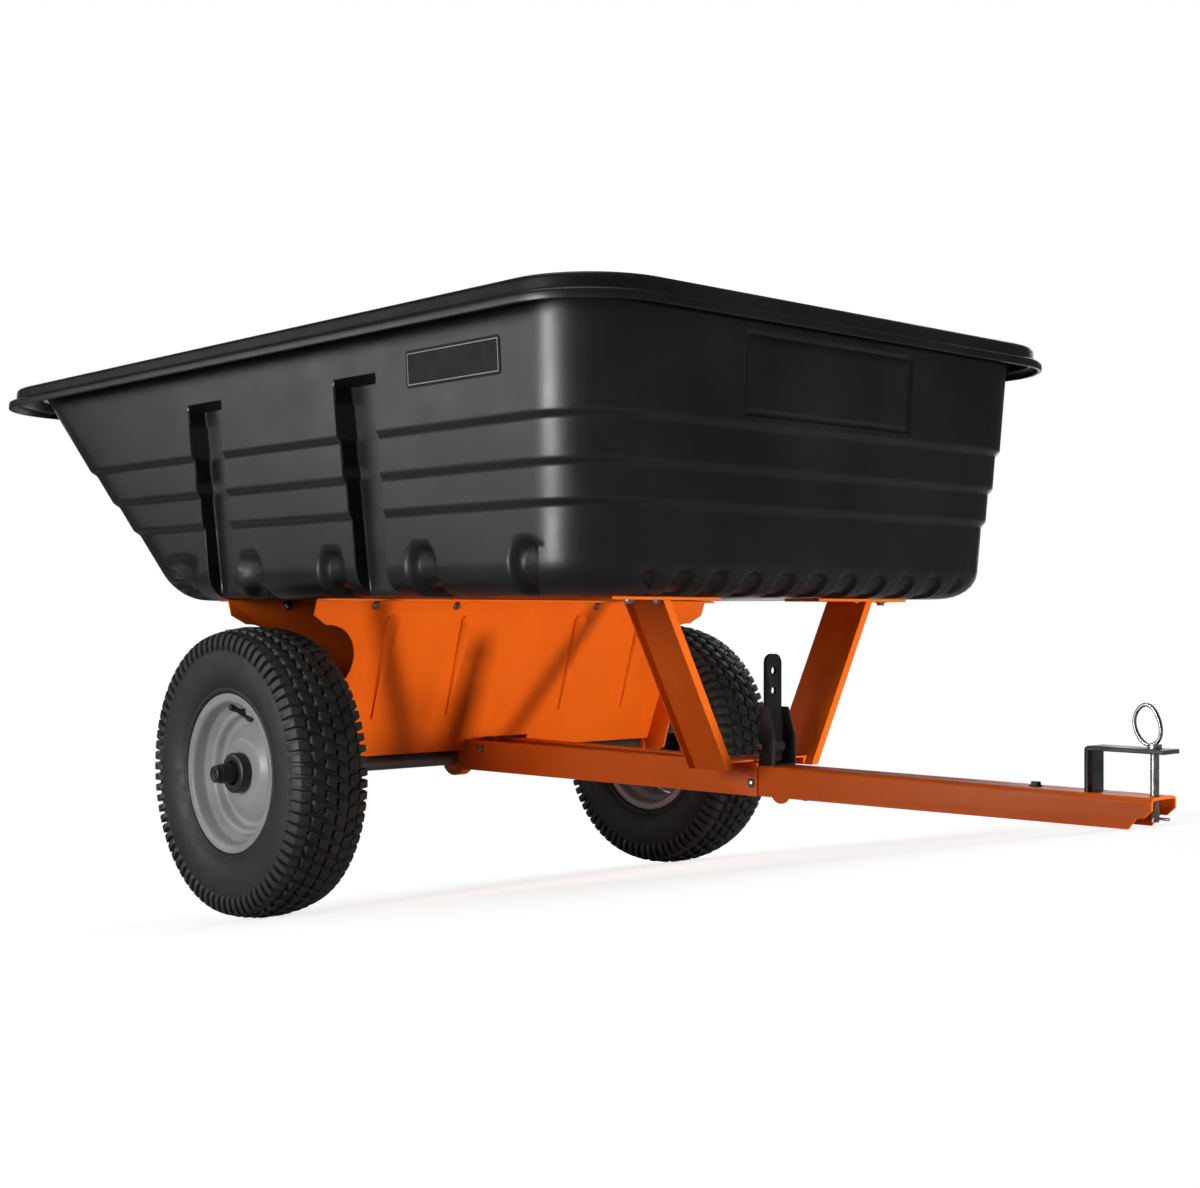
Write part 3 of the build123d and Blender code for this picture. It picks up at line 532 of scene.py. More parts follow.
def placeParts(name, partMesh, spots, body, slotName, degrees=40, size=1.0):
    # spots are (point, direction) or (point, direction, twist in degrees)
    mesh = bpy.data.meshes.new(name + "Points")
    mesh.from_pydata([tuple(spot[0]) for spot in spots], [], [])
    turn = mesh.attributes.new("turn", "FLOAT_VECTOR", "POINT")
    for k, spot in enumerate(spots):
        twist = math.radians(spot[2]) if len(spot) > 2 else 0
        aim = Vector(spot[1]).to_track_quat("Z", "Y").to_matrix().to_4x4() @ Matrix.Rotation(twist, 4, "Z")
        turn.data[k].vector = aim.to_euler()
    part, carrier = hiddenTool(name + "Part", partMesh), hiddenTool(name + "Carrier", mesh)
    result = runTree(carrier, partTree, {"Part": part, "Size": size, "Material": materials[slotName]})
    dropTool(part)
    dropTool(carrier)
    piece = finishPiece(name, result, body, slotName)
    sharpEdges(piece.data, degrees)
    return piece


print("node trees made")

# the tub

tubLow, tubHigh = levelBox("tub")
tubStyle = {
    "wall": 0.005, "draft": 0.056, "rake": 1.10, "rimFlange": 0.040, "rearFlange": 0.0465,
    "ledges": (0.650, 0.597, 0.551), "ledgeDrop": 0.010, "ledgeStep": 0.0042,
    "frontCorner": 0.095, "rearCorner": 0.140, "rimFrontCorner": 0.118, "rimRearCorner": 0.150,
    "floorRound": 0.040, "rimStep": 0.010, "rimStepLevel": 0.780, "skirtBottom": 0.767,
    "channels": (-0.102, 0.272), "channelHalf": 0.045, "channelDepth": 0.028, "channelTop": 0.724,
    "channelSoft": 0.003,
    "channelLean": 0.02, "channelTaper": 1.1,
    "pockets": (-0.212, -0.020, 0.180, 0.379, 0.580), "pocketHalf": 0.029, "pocketTop": 0.512,
    "pocketDepth": 0.013, "pocketSoft": 0.012, "pocketInside": 0.6, "underReach": 0.07,
    "grooves": 11, "groovePitch": 0.061, "grooveHalf": 0.015, "grooveDepth": 0.012, "grooveTop": 0.474,
    "panel": (-0.172, 0.155, 0.661, 0.765), "panelDepth": 0.0015, "panelGroove": 0.0045,
}


def smoothStep(value, low, high):
    t = np.clip((value - low) / (high - low), 0, 1)
    return t * t * (3 - 2 * t)


def wallInset(style, height, flange, slope):
    # how far the wall stands inside the rim's edge at a height, ledges and all
    steps = sum(
        1 - smoothStep(height, ledge - style["ledgeDrop"] / 2, ledge + style["ledgeDrop"] / 2)
        for ledge in style["ledges"])
    return flange + slope * (tubHigh.z - height) + style["ledgeStep"] * steps


def tubRows(style, inward):
    # (side inset, side height, rear inset, rear height, front corner, rear corner, turn under, reach under)
    rows = []
    floor = tubLow.z + inward
    turnRadius = style["floorRound"] - inward
    top = tubHigh.z - 0.006
    heights = set(np.round(np.arange(floor + turnRadius, top, 0.0075), 5))
    for ledge in style["ledges"]:
        heights |= set(np.round(np.linspace(ledge - 0.007, ledge + 0.007, 8), 5))
    heights |= set(np.round(np.linspace(style["channelTop"] - 0.004, style["channelTop"] + 0.004, 4), 5))
    heights |= set(np.round(np.linspace(style["pocketTop"] - 0.034, style["pocketTop"] + 0.006, 12), 5))
    for edge, turn in ((style["panel"][2], 1), (style["panel"][3], -1)):
        heights |= {round(edge + turn * d, 5) for d in (0.0, 0.003, 0.005, 0.009)}
    heights = [h for h in sorted(heights, reverse=True) if floor + turnRadius <= h < top]
    kept = [heights[0]]
    for height in heights[1:]:
        if kept[-1] - height > 0.0015:
            kept.append(height)
    slope = math.hypot(1, style["rake"])
    for height in kept:
        side = wallInset(style, height, style["rimFlange"], style["draft"]) + inward
        rear = wallInset(style, height, style["rearFlange"], style["rake"]) + inward * slope
        rows.append((side, height, rear, height, style["frontCorner"] - inward, style["rearCorner"] - inward, 0, 0))
    side, _, rear, _, front, back = rows[-1][:6]
    wallTurn = math.atan2(1, style["rake"])  # how far the raked wall turns to reach the floor
    reach = turnRadius / math.tan(wallTurn)  # along the floor for the drop of this round
    for step in range(1, 9):
        t = step / 8
        lower = math.pi / 2 * t
        height = floor + turnRadius * (1 - math.sin(lower))
        rearHeight = floor + turnRadius * (1 - (2 * t - t * t))
        rearInset = rear + style["rake"] * turnRadius * (2 * t * (1 - t)) + t * t * (reach + turnRadius * 0.45)
        rows.append((side + turnRadius * (1 - math.cos(lower)), height, rearInset, rearHeight, front, back, lower, 0))
    if inward == 0:
        side, _, rear, _, front, back, lower, _ = rows[-1]
        for under in (0.012, 0.03, 0.05, style["underReach"]):
            corners = (front - under * 0.6, back - under * 0.6)
            rows.append((side + under, floor, rear + under, floor, *corners, lower, under))
    return rows


def rimRows(style):
    # from the inner edge of the top over both tiers to the skirt and back under to the wall
    top, step, skirt, wall = tubHigh.z, style["rimStepLevel"], style["skirtBottom"], 0.0045
    tier, flange = style["rimStep"], style["rimFlange"]
    outline = roundCorners([
        (flange + 0.0055, top - 0.012), (flange + 0.0035, top), (tier, top), (tier - 0.0008, step),
        (0.0, step - 0.001), (0.0, skirt), (wall, skirt), (wall, step - wall), (tier + wall, step - wall),
        (tier + wall, top - wall), (flange - 0.001, top - wall), (flange + 0.001, top - 0.016)],
        [0, 0.006, 0.006, 0.003, 0.004, 0.0015, 0.0015, 0.002, 0.003, 0.003, 0.003, 0], 3, closed=False)
    rows = []
    for inset, height in outline:
        share = min(inset / flange, 1)
        front = style["rimFrontCorner"] - inset * 0.6
        back = style["rimRearCorner"] - inset * 0.3
        rear = inset + share * (style["rearFlange"] - flange)
        rows.append((inset, height, rear, height, front, back))
    return rows


def stationLists(style):
    # fixed places along the sides and the front, closer together where a feature turns
    side = set(np.round(np.arange(-0.175, 0.561, 0.011), 4))
    for centre in style["channels"]:
        for edge in (centre - style["channelHalf"], centre + style["channelHalf"]):
            side |= {round(edge + d, 4) for d in (-0.006, -0.003, -0.001, 0.001, 0.003, 0.006)}
    for centre in style["pockets"]:
        for edge in (centre - style["pocketHalf"], centre + style["pocketHalf"]):
            side |= {round(edge + d, 4) for d in np.arange(-0.012, 0.0121, 0.003) if -0.175 < edge + d < 0.56}
    front = set(np.round(np.arange(-0.3, 0.301, 0.0061), 4))
    for edge, turn in ((style["panel"][0], 1), (style["panel"][1], -1)):
        front |= {round(edge + turn * d, 4) for d in (0.0, 0.003, 0.005, 0.009)}
    return thinned(sorted(side)), thinned(sorted(front))


def thinned(places):
    kept = [places[0]]
    for place in places[1:]:
        if place - kept[-1] > 0.0018:
            kept.append(place)
    return kept


def ringPoints(row, lists, cornerSteps=14, endSteps=4):
    # one ring round the tub: right side, front right corner, front, and so on back to the start
    side, sideHeight, rear, rearHeight, frontRadius, rearRadius = row[:6]
    sideList, frontList = lists
    front, back, half = tubHigh.x - side, tubLow.x + rear, tubHigh.y - side
    points, zones = [], []

    def add(x, y, height, zone):
        points.append((x, y, height))
        zones.append(zone)

    def sideRun(sign):
        start, end = back + rearRadius, front - frontRadius
        run = list(np.linspace(start, sideList[0], endSteps, endpoint=False)) + sideList
        run += list(np.linspace(sideList[-1], end, endSteps + 1)[1:])
        return [(x, sign * half) for x in run]

    def corner(cx, cy, radius, first, height0, height1, zone):
        for k in range(1, cornerSteps):
            angle = math.radians(first + 90 * k / cornerSteps)
            t = k / cornerSteps
            add(cx + radius * math.cos(angle), cy + radius * math.sin(angle), height0 + (height1 - height0) * t, zone)

    for x, y in sideRun(-1):
        add(x, y, sideHeight, 0)
    corner(front - frontRadius, -half + frontRadius, frontRadius, -90, sideHeight, sideHeight, 1)
    edge = half - frontRadius
    frontRun = list(np.linspace(-edge, frontList[0], endSteps, endpoint=False)) + frontList
    frontRun += list(np.linspace(frontList[-1], edge, endSteps + 1)[1:])
    for y in frontRun:
        add(front, y, sideHeight, 2)
    corner(front - frontRadius, half - frontRadius, frontRadius, 0, sideHeight, sideHeight, 3)
    for x, y in reversed(sideRun(1)):
        add(x, y, sideHeight, 4)
    corner(back + rearRadius, half - rearRadius, rearRadius, 90, sideHeight, rearHeight, 5)
    for y in np.linspace(half - rearRadius, -half + rearRadius, 56):
        add(back, y, rearHeight, 6)
    corner(back + rearRadius, -half + rearRadius, rearRadius, 180, rearHeight, sideHeight, 7)
    return np.array(points), np.array(zones)


def pressTub(points, zones, style, inward, lower, under):
    # pushes the channels, pockets, grooves and front panel in from the smooth shell
    pressed = points.copy()
    x, y, z = points.T
    isSide = (zones == 0) | (zones == 4) | (zones == 5) | (zones == 7)
    sign = np.sign(y)
    # the channels' back walls are flat and lean in a little faster than the stepped wall beside them
    back = tubHigh.y - (style["rimFlange"] + style["draft"] * (tubHigh.z - z)) - style["channelDepth"]
    back -= style["channelLean"] * (style["channelTop"] - z) + inward
    reach = style["channelHalf"] + inward
    soft = style["channelSoft"]
    narrow = style["channelTaper"] * np.maximum(style["channelTop"] - z, 0)
    for centre in style["channels"]:
        apart = np.abs(x - centre)
        inside = 1 - smoothStep(apart, reach - soft / 2, reach + soft / 2)
        inside *= 1 - smoothStep(z, style["channelTop"] + inward - soft, style["channelTop"] + inward + soft)
        push = np.maximum(np.abs(pressed[:, 1]) - back, 0) * inside * isSide
        pressed[:, 1] -= sign * push
        pressed[:, 0] -= (x - centre) * narrow * (1 - smoothStep(apart, reach + 0.008, 0.10)) * isSide
    x = pressed[:, 0].copy()
    outward, downward = math.cos(lower), math.sin(lower)
    fade = 1 - under / style["underReach"]
    for centre in style["pockets"]:
        soft = style["pocketSoft"]
        above = np.maximum(z - style["pocketTop"] + style["pocketHalf"], 0)
        half = style["pocketHalf"]
        inside = 1 - smoothStep(np.hypot(x - centre, above), half - soft, half + soft * 0.3)
        inside *= isSide * fade
        depth = style["pocketDepth"] * (1 if inward == 0 else style["pocketInside"]) * inside
        pressed[:, 1] -= sign * depth * outward
        pressed[:, 2] += depth * downward
    if inward == 0:
        isFront = zones == 2
        for k in range(style["grooves"]):
            centre = (k - (style["grooves"] - 1) / 2) * style["groovePitch"]
            inside = 1 - smoothStep(np.abs(y - centre), style["grooveHalf"] - 0.006, style["grooveHalf"] + 0.001)
            inside *= (1 - smoothStep(z, style["grooveTop"] - 0.010, style["grooveTop"])) * isFront * fade
            pressed[:, 0] -= style["grooveDepth"] * inside * outward
            pressed[:, 2] += style["grooveDepth"] * inside * downward
        left, right, low, high = style["panel"]
        edge = np.minimum(np.minimum(y - left, right - y), np.minimum(z - low, high - z))
        groove = smoothStep(edge, 0, 0.0035) * (1 - smoothStep(edge, 0.0045, 0.009))
        inside = style["panelGroove"] * groove + style["panelDepth"] * smoothStep(edge, 0.004, 0.009)
        pressed[:, 0] -= inside * isFront
    return pressed


def buildTub(style):
    lists = stationLists(style)
    inner = [(row, style["wall"]) for row in reversed(tubRows(style, style["wall"]))]
    rim = [(row, None) for row in rimRows(style)]
    outer = [(row, 0) for row in tubRows(style, 0)]
    vertices, faces = [], []
    rings = inner + rim + outer
    for row, inward in rings:
        points, zones = ringPoints(row, lists)
        if inward is not None:
            points = pressTub(points, zones, style, inward, *row[6:])
        vertices.append(points)
    count = len(vertices[0])
    for i in range(len(rings) - 1):
        for j in range(count):
            k = (j + 1) % count
            faces.append((i * count + j, i * count + k, (i + 1) * count + k, (i + 1) * count + j))
    faces.append(tuple(range(count - 1, -1, -1)))
    last = (len(rings) - 1) * count
    faces.append(tuple(range(last, last + count)))
    mesh = bpy.data.meshes.new("tubShell")
    mesh.from_pydata([tuple(v) for v in np.concatenate(vertices)], [], faces)
    tidyNormals(mesh, 1e-5)
    piece = finishPiece("tubShell", mesh, "bed", "black_poly")
    sharpEdges(piece.data, 38)
    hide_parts("tub")
    return piece


tubShell = buildTub(tubStyle)
print("tub built:", len(tubShell.data.polygons), "faces")

# wheels

wheelStyle = {
    "steps": 112, "lugCount": 58, "columns": 4, "spacing": 0.0183, "lugHeight": 0.0056, "crown": 0.0030,
    "shoulderCount": 76, "shoulderSpan": 0.090, "shoulderDrop": 0.0070,
    "lug": (0.0160, 0.0155), "shoulder": (0.0112, 0.0150), "skew": 0.0022,
    "sheet": 0.0026, "lip": 0.112, "bead": 0.1016, "well": 0.0876, "dishDeep": 0.010, "dishEdge": 0.064,
    "stepEdge": 0.0765, "seat": 0.0245, "seatRadius": 0.043, "hubProud": 0.0095,
    "valveRadius": 0.0052, "valveLength": 0.036, "valveLean": 24, "bore": 0.01105,
}


def blockMesh(length, width, height, taper, skew):
    # a moulded lug: its top is drawn in by the taper and its ends are skewed
    outline = roundCorners([(-1, -1), (1, -1), (1, 1), (-1, 1)], 0.55, 3)
    count = len(outline)
    vertices = []
    levels = (
        (-0.003, 1.06), (height * 0.55, 1 - taper * 0.3), (height * 0.88, 1 - taper * 0.7), (height, 1 - taper * 1.6))
    for level, size in levels:
        for cx, cy in outline:
            vertices.append((cx * length / 2 * size + cy * skew, cy * width / 2 * size, level))
    faces = [tuple(range(count - 1, -1, -1)), tuple(range(3 * count, 4 * count))]
    for level in range(0, 3 * count, count):
        for k in range(count):
            m = (k + 1) % count
            faces.append((level + k, level + m, level + count + m, level + count + k))
    mesh = bpy.data.meshes.new("lug")
    mesh.from_pydata(vertices, [], faces)
    tidyNormals(mesh)
    return mesh


def shoulderMesh(length, width, height):
    # a shoulder lug bends down over the sidewall on its outer end
    stations = [
        (0.5, height * 0.6, 0.8), (0.42, height, 0.96), (-0.1, height, 1.0), (-0.5, height * 0.55, 0.97),
        (-0.72, -0.0040, 0.90), (-0.82, -0.0110, 0.84), (-0.80, -0.0175, 0.66)]
    vertices, faces = [], []
    for place, level, size in stations:
        y = place * width
        for cx, share, drop in ((-1, 0.86, 0.0), (1, 0.86, 0.0), (-1, 1.05, 0.007), (1, 1.05, 0.007)):
            tuck = 0.0045 if drop and place < -0.4 else 0.0
            vertices.append((cx * length / 2 * size * share + place * 0.002, y + tuck, level - drop))
    for i in range(len(stations) - 1):
        a, b = i * 4, (i + 1) * 4
        faces += [(a, a + 1, b + 1, b), (a + 1, a + 3, b + 3, b + 1)]
        faces += [(a + 2, a, b, b + 2), (a + 3, a + 2, b + 2, b + 3)]
    faces += [(0, 2, 3, 1), (b, b + 1, b + 3, b + 2)]
    mesh = bpy.data.meshes.new("shoulderLug")
    mesh.from_pydata(vertices, [], faces)
    tidyNormals(mesh)
    return mesh


def tyreProfile(half, radius, lip, bead):
    # the carcass: a low crown, a full sidewall that bulges past the rim, and the beads inside it
    beadPlace = half - 0.0125
    outer = [
        (0.0, radius), (0.020, radius - 0.0006), (0.036, radius - 0.0030), (0.0455, radius - 0.0075),
        (0.0508, radius - 0.0150), (0.0540, radius - 0.0250), (0.0558, radius - 0.0350), (half, radius - 0.0460),
        (half - 0.0002, radius - 0.0550), (half - 0.0020, radius - 0.0650), (half - 0.0058, radius - 0.0740),
        (half - 0.0098, lip + 0.0065), (half - 0.0085, lip + 0.0045), (half - 0.0095, lip + 0.0020),
        (beadPlace - 0.001, lip - 0.001), (beadPlace - 0.003, bead), (beadPlace - 0.016, bead)]
    inner = [
        (beadPlace - 0.016, lip + 0.004), (half - 0.010, radius - 0.056), (0.040, radius - 0.020),
        (0.0, radius - 0.012)]
    side = roundCorners(outer, 0.0035, 2, closed=False) + inner
    return side + [(-across, high) for across, high in reversed(side[1:-1])]


def rimProfile(style, half):
    # both rolled lips and the drop centre as one strip of sheet, drawn from the +Y lip to the -Y lip
    edge = half - 0.0005
    bead, lip = style["bead"], style["lip"]
    outer = [(edge - 0.004, lip - 0.0022), (edge - 0.0005, lip - 0.0008), (edge + 0.0005, lip - 0.0030),
             (edge - 0.0005, bead - 0.0005), (edge - 0.0035, bead - 0.0030), (edge - 0.012, bead - 0.0040),
             (0.027, bead - 0.0046), (0.019, style["well"])]
    line = outer + [(-across, high) for across, high in reversed(outer)]
    return thickened(roundCorners(line, 0.0022, 3, closed=False), style["sheet"])


def thickened(line, sheet):
    # the closed outline of a strip of sheet that lies along a line, on its inner side
    inner = []
    for k, point in enumerate(line):
        back, ahead = Vector(line[max(k - 1, 0)]), Vector(line[min(k + 1, len(line) - 1)])
        along = (ahead - back).normalized()
        inner.append((point[0] + along.y * sheet, point[1] - along.x * sheet))
    return line + inner[::-1]


def discProfile(style, sign):
    deep, step = style["dishDeep"], style["stepEdge"]
    line = [
        (deep + 0.011, style["well"] - 0.0006), (deep + 0.0105, step + 0.0035), (deep - 0.001, step),
        (deep - 0.002, style["dishEdge"] + 0.005), (deep + 0.003, style["dishEdge"]),
        (style["seat"], style["seatRadius"] + 0.003), (style["seat"], 0.0165)]
    sheet = thickened(roundCorners(line, 0.0045, 4, closed=False), style["sheet"])
    return [(sign * across, radius) for across, radius in sheet]


def latheOn(name, profile, centre, steps, body, slotName, node=None, degrees=45):
    piece = finishPiece(name, lathe(profile, centre, steps), body, slotName)
    sharpEdges(piece.data, degrees)
    if node:
        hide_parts(node)
    return piece


def buildWheel(hand, sign, style):
    low, high = levelBox("tyre_" + hand)
    centre = Vector((0, (low.y + high.y) / 2, axleHeight))
    half, radius = (high.y - low.y) / 2, (high.z - low.z) / 2
    body = "wheel_" + hand
    carcass = radius - style["lugHeight"]
    latheOn("tyreCarcass_" + hand, tyreProfile(half, carcass, style["lip"], style["bead"]), centre,
            style["steps"], body, "tyre_rubber", "tyre_" + hand, 60)
    length, across = style["lug"]
    lug = hiddenTool("lugTool", blockMesh(length, across, style["lugHeight"], 0.16, style["skew"]))
    length, across = style["shoulder"]
    shoulder = hiddenTool("shoulderTool", shoulderMesh(length, across, style["lugHeight"]))
    carrier = hiddenTool("treadCarrier", bpy.data.meshes.new("treadCarrier"))
    middle = runTree(carrier, lugTree, {
        "Lug": lug, "Shoulder": lug, "Count": style["lugCount"], "Columns": style["columns"],
        "Radius": carcass, "Spacing": style["spacing"], "Crown": style["crown"],
        "Material": materials["tyre_rubber"]})
    shoulders = runTree(carrier, lugTree, {
        "Lug": lug, "Shoulder": shoulder, "Count": style["shoulderCount"], "Columns": 2,
        "Radius": carcass, "Spacing": style["shoulderSpan"], "Crown": style["shoulderDrop"],
        "Material": materials["tyre_rubber"]})
    work = bmesh.new()
    work.from_mesh(middle)
    work.from_mesh(shoulders)
    tread = bpy.data.meshes.new("tread")
    work.to_mesh(tread)
    work.free()
    tidyNormals(tread, 1e-7)
    for tool in (lug, shoulder, carrier):
        dropTool(tool)
    tread.transform(Matrix.Translation(centre))
    treadPiece = finishPiece("tyreTread_" + hand, tread, body, "tyre_rubber")
    sharpEdges(treadPiece.data, 40)

    rimLow, rimHigh = levelBox("wheel_rim_" + hand)
    latheOn("rimBarrel_" + hand, rimProfile(style, (rimHigh.y - rimLow.y) / 2), centre, 96, body, "rim_paint",
            "wheel_rim_" + hand)
    latheOn("rimDisc_" + hand, discProfile(style, sign), centre, 96, body, "rim_paint")

    hubLow, hubHigh = levelBox("hub_" + hand)
    capLow, capHigh = levelBox("hub_cap_" + hand)
    flange, cap = (hubHigh.z - hubLow.z) / 2, (capHigh.z - capLow.z) / 2
    outer = (hubHigh.y if sign > 0 else -hubLow.y) - abs(centre.y)
    inner = (-hubLow.y if sign > 0 else hubHigh.y) + abs(centre.y)
    if capHigh.y > 0:
        tip, start = capHigh.y - centre.y, capLow.y - centre.y
    else:
        tip, start = centre.y - capLow.y, centre.y - capHigh.y
    bore = style["bore"]
    proud = start + style["hubProud"]
    hubLine = [
        (-inner, bore), (-inner, 0.0165), (start - 0.0062, 0.0165), (start - 0.0062, flange),
        (proud - 0.0015, flange), (proud, flange - 0.004), (proud, cap + 0.0030),
        (start - 0.0005, cap + 0.0030), (start - 0.0005, bore)]
    hubLine = roundCorners(hubLine, [0, 0.001, 0.001, 0.0015, 0.0022, 0.003, 0.001, 0, 0], 3)
    latheOn("hub_shape_" + hand, [(sign * a, r) for a, r in hubLine], centre, 64, body, "hub_plastic", "hub_" + hand)
    capLine = [
        (start - 0.0004, 0.0125), (start - 0.0004, cap + 0.0022), (start + 0.004, cap + 0.0022),
        (start + 0.0055, cap), (tip - 0.009, cap - 0.0006), (tip - 0.008, cap - 0.0018),
        (tip - 0.001, cap - 0.0024), (tip, cap - 0.0055), (tip - 0.0012, 0.004), (tip - 0.0012, 0.0),
        (tip - 0.009, 0.0), (tip - 0.009, 0.0125)]
    capLine = roundCorners(capLine, [0, 0.001, 0.001, 0.001, 0.0012, 0.001, 0.002, 0.002, 0.001, 0, 0, 0], 2)
    latheOn("cap_shape_" + hand, [(sign * a, max(r, 0)) for a, r in capLine], centre, 48, body, "hub_plastic",
            "hub_cap_" + hand)
    buildValve(hand, sign, centre, body, style)


def buildValve(hand, sign, centre, body, style):
    # a snap-in valve stem that leans out of the barrel
    valveLow, valveHigh = levelBox("valve_" + hand)
    middle = (valveLow + valveHigh) / 2
    r, length = style["valveRadius"], style["valveLength"]
    line = [
        (-0.004, 0.0), (-0.004, r * 1.5), (0.001, r * 1.55), (0.004, r * 1.05), (length * 0.5, r * 0.85),
        (length * 0.56, r * 0.62), (length * 0.66, r * 0.62), (length * 0.67, r * 0.86),
        (length * 0.96, r * 0.86), (length, r * 0.6), (length, 0.0)]
    mesh = lathe(roundCorners(line, 0.0008, 2), (0, 0, 0), 24)
    lean = Matrix.Rotation(math.radians(style["valveLean"]) * sign, 4, "X")
    flip = Matrix.Rotation(math.radians(180), 4, "Z") if sign < 0 else Matrix.Identity(4)
    base = Vector((middle.x, centre.y + sign * (style["dishDeep"] + 0.001), middle.z))
    mesh.transform(Matrix.Translation(base) @ lean @ flip)
    piece = finishPiece("valveStem_" + hand, mesh, body, "valve_rubber")
    sharpEdges(piece.data, 45)
    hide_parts("valve_" + hand)


for hand, sign in (("right", -1), ("left", 1)):
    buildWheel(hand, sign, wheelStyle)
print("wheels built")

# steelwork

steelParts = [
    ("brace_right", "bed", 0.0009), ("brace_left", "bed", 0.0009),
    ("brace_pad_right", "bed", 0.0009), ("brace_pad_left", "bed", 0.0009), ("latch_plate", "bed", 0.0009),
    ("axle_support_front", "bed", 0.0007), ("axle_support_rear", "bed", 0.0007),
    ("tongue_rail_right", "tongue", 0.001), ("tongue_rail_left", "tongue", 0.001), ("tongue_front", "tongue", 0.001),
    ("latch_bracket", "tongue", 0.0008), ("latch_lever", "tongue", 0.0008), ("hitch_bracket", "tongue", 0.0008),
]
slotOf = {part["node"]: part["material_slot"] for part in frame["record"]["subparts"]}
for node, body, width in steelParts:
    softenedCopy(node, width, body, slotOf[node])
print("steelwork softened:", len(steelParts))

panelStyle = {
    "foot": (0.030, 0.217), "top": (0.118, 0.445), "ribPlaces": (0.112, 0.247), "ribTop": 0.020, "ribLength": 0.172,
    "ribHalf": 0.0130, "ribHeight": 0.0095, "boltPlaces": (0.139, 0.283), "boltLevel": 0.4365,
}


def ribMesh(length, half, height, steps=22, across=12):
    # half a cone pressed out of the sheet: round at its head, fading to nothing at its foot
    vertices, faces = [], []
    for i in range(steps + 1):
        t = i / steps
        place = -length * t
        head = math.sqrt(max(1 - (1 - min(t / 0.05, 1)) ** 2, 0))
        width, rise = half * (1 - t) * head + 0.0002, height * (1 - t) * head
        for k in range(across + 1):
            angle = math.pi * k / across
            vertices.append((-width * math.cos(angle), place, rise * math.sin(angle) - 0.0003))
    row = across + 1
    for i in range(steps):
        for k in range(across):
            faces.append((i * row + k, i * row + k + 1, (i + 1) * row + k + 1, (i + 1) * row + k))
        faces.append((i * row + across, i * row, (i + 1) * row, (i + 1) * row + across))
    faces += [tuple(range(row - 1, -1, -1)), tuple(range(steps * row, steps * row + row))]
    mesh = bpy.data.meshes.new("rib")
    mesh.from_pydata(vertices, [], faces)
    tidyNormals(mesh)
    return mesh


def panelSpot(style, side, across, level, proud=0.0):
    # a point on a support panel's outer face, and the way that the face looks
    (footX, footZ), (topX, topZ) = style["foot"], style["top"]
    slope = (topX - footX) / (topZ - footZ)
    aim = Vector((side, 0, -slope)).normalized()
    return Vector((side * (footX + slope * (level - footZ)), across, level)) + aim * proud, aim


def domeMesh(radius, height, washer=0.0):
    # a round bolt head, with a washer under it if one is asked for
    line = [(-0.002, 0.0), (-0.002, radius * 0.9)]
    if washer:
        line += [(0.0, radius * 0.9), (0.0, washer), (0.0013, washer)]
    line += [(0.0013 if washer else 0.0, radius)]
    line += [(0.001 + height * math.sin(a), radius * math.cos(a)) for a in np.linspace(0.25, math.pi / 2, 6)]
    mesh = lathe(line, (0, 0, 0), 20)
    mesh.transform(Matrix.Rotation(math.radians(90), 4, "X"))
    tidyNormals(mesh)
    return mesh


def hexMesh(across, height, washer):
    # a hexagon head or nut with a chamfered crown, on its washer
    line = [(-0.002, 0.0), (-0.002, across * 0.6), (0.0, washer), (0.0014, washer), (0.0014, across * 0.9)]
    base = lathe(line + [(0.0014, 0.0)], (0, 0, 0), 24)
    work = bmesh.new()
    work.from_mesh(base)
    top = []
    for level, size in ((0.001, 1.0), (height * 0.82, 1.0), (height, 0.86)):
        turns = [k * math.pi / 3 for k in range(6)]
        wide = across * size
        top.append([work.verts.new((wide * math.cos(turn), level, wide * math.sin(turn))) for turn in turns])
    for lower, upper in zip(top, top[1:]):
        for k in range(6):
            m = (k + 1) % 6
            work.faces.new((lower[k], lower[m], upper[m], upper[k]))
    work.faces.new(top[-1])
    work.faces.new(top[0][::-1])
    bmesh.ops.recalc_face_normals(work, faces=work.faces)
    work.to_mesh(base)
    work.free()
    base.transform(Matrix.Rotation(math.radians(90), 4, "X"))
    return base


ribSpots, panelBolts, panelNuts = [], [], []
for side in (1, -1):
    for across in panelStyle["ribPlaces"]:
        for hand in (-1, 1):
            level = panelStyle["top"][1] - panelStyle["ribTop"]
            point, aim = panelSpot(panelStyle, side, hand * across, level)
            ribSpots.append((point, aim, side))
    for across in panelStyle["boltPlaces"]:
        for hand in (-1, 1):
            point, aim = panelSpot(panelStyle, side, hand * across, panelStyle["boltLevel"])
            panelBolts.append((point, aim))
            panelNuts.append((point - aim * 0.0026, -aim))


def placeRibs(style, spots):
    # ribs run down their panel, so they are turned one by one before they are joined
    vertices, faces = [], []
    rib = ribMesh(style["ribLength"], style["ribHalf"], style["ribHeight"])
    for point, aim, side in spots:
        across = Vector((0, side, 0))
        up = aim.cross(across)
        turn = Matrix((across, up, aim)).transposed()
        base = len(vertices)
        vertices += [point + turn @ v.co for v in rib.vertices]
        faces += [tuple(base + i for i in face.vertices) for face in rib.polygons]
    piece = meshPiece("supportRibs", vertices, faces, "bed", "orange_paint")
    sharpEdges(piece.data, 60)


placeRibs(panelStyle, ribSpots)
placeParts("panelBolts", domeMesh(0.0062, 0.0032, 0.0), panelBolts, "bed", "zinc")
placeParts("panelNuts", hexMesh(0.0068, 0.0060, 0.0085), panelNuts, "bed", "zinc")

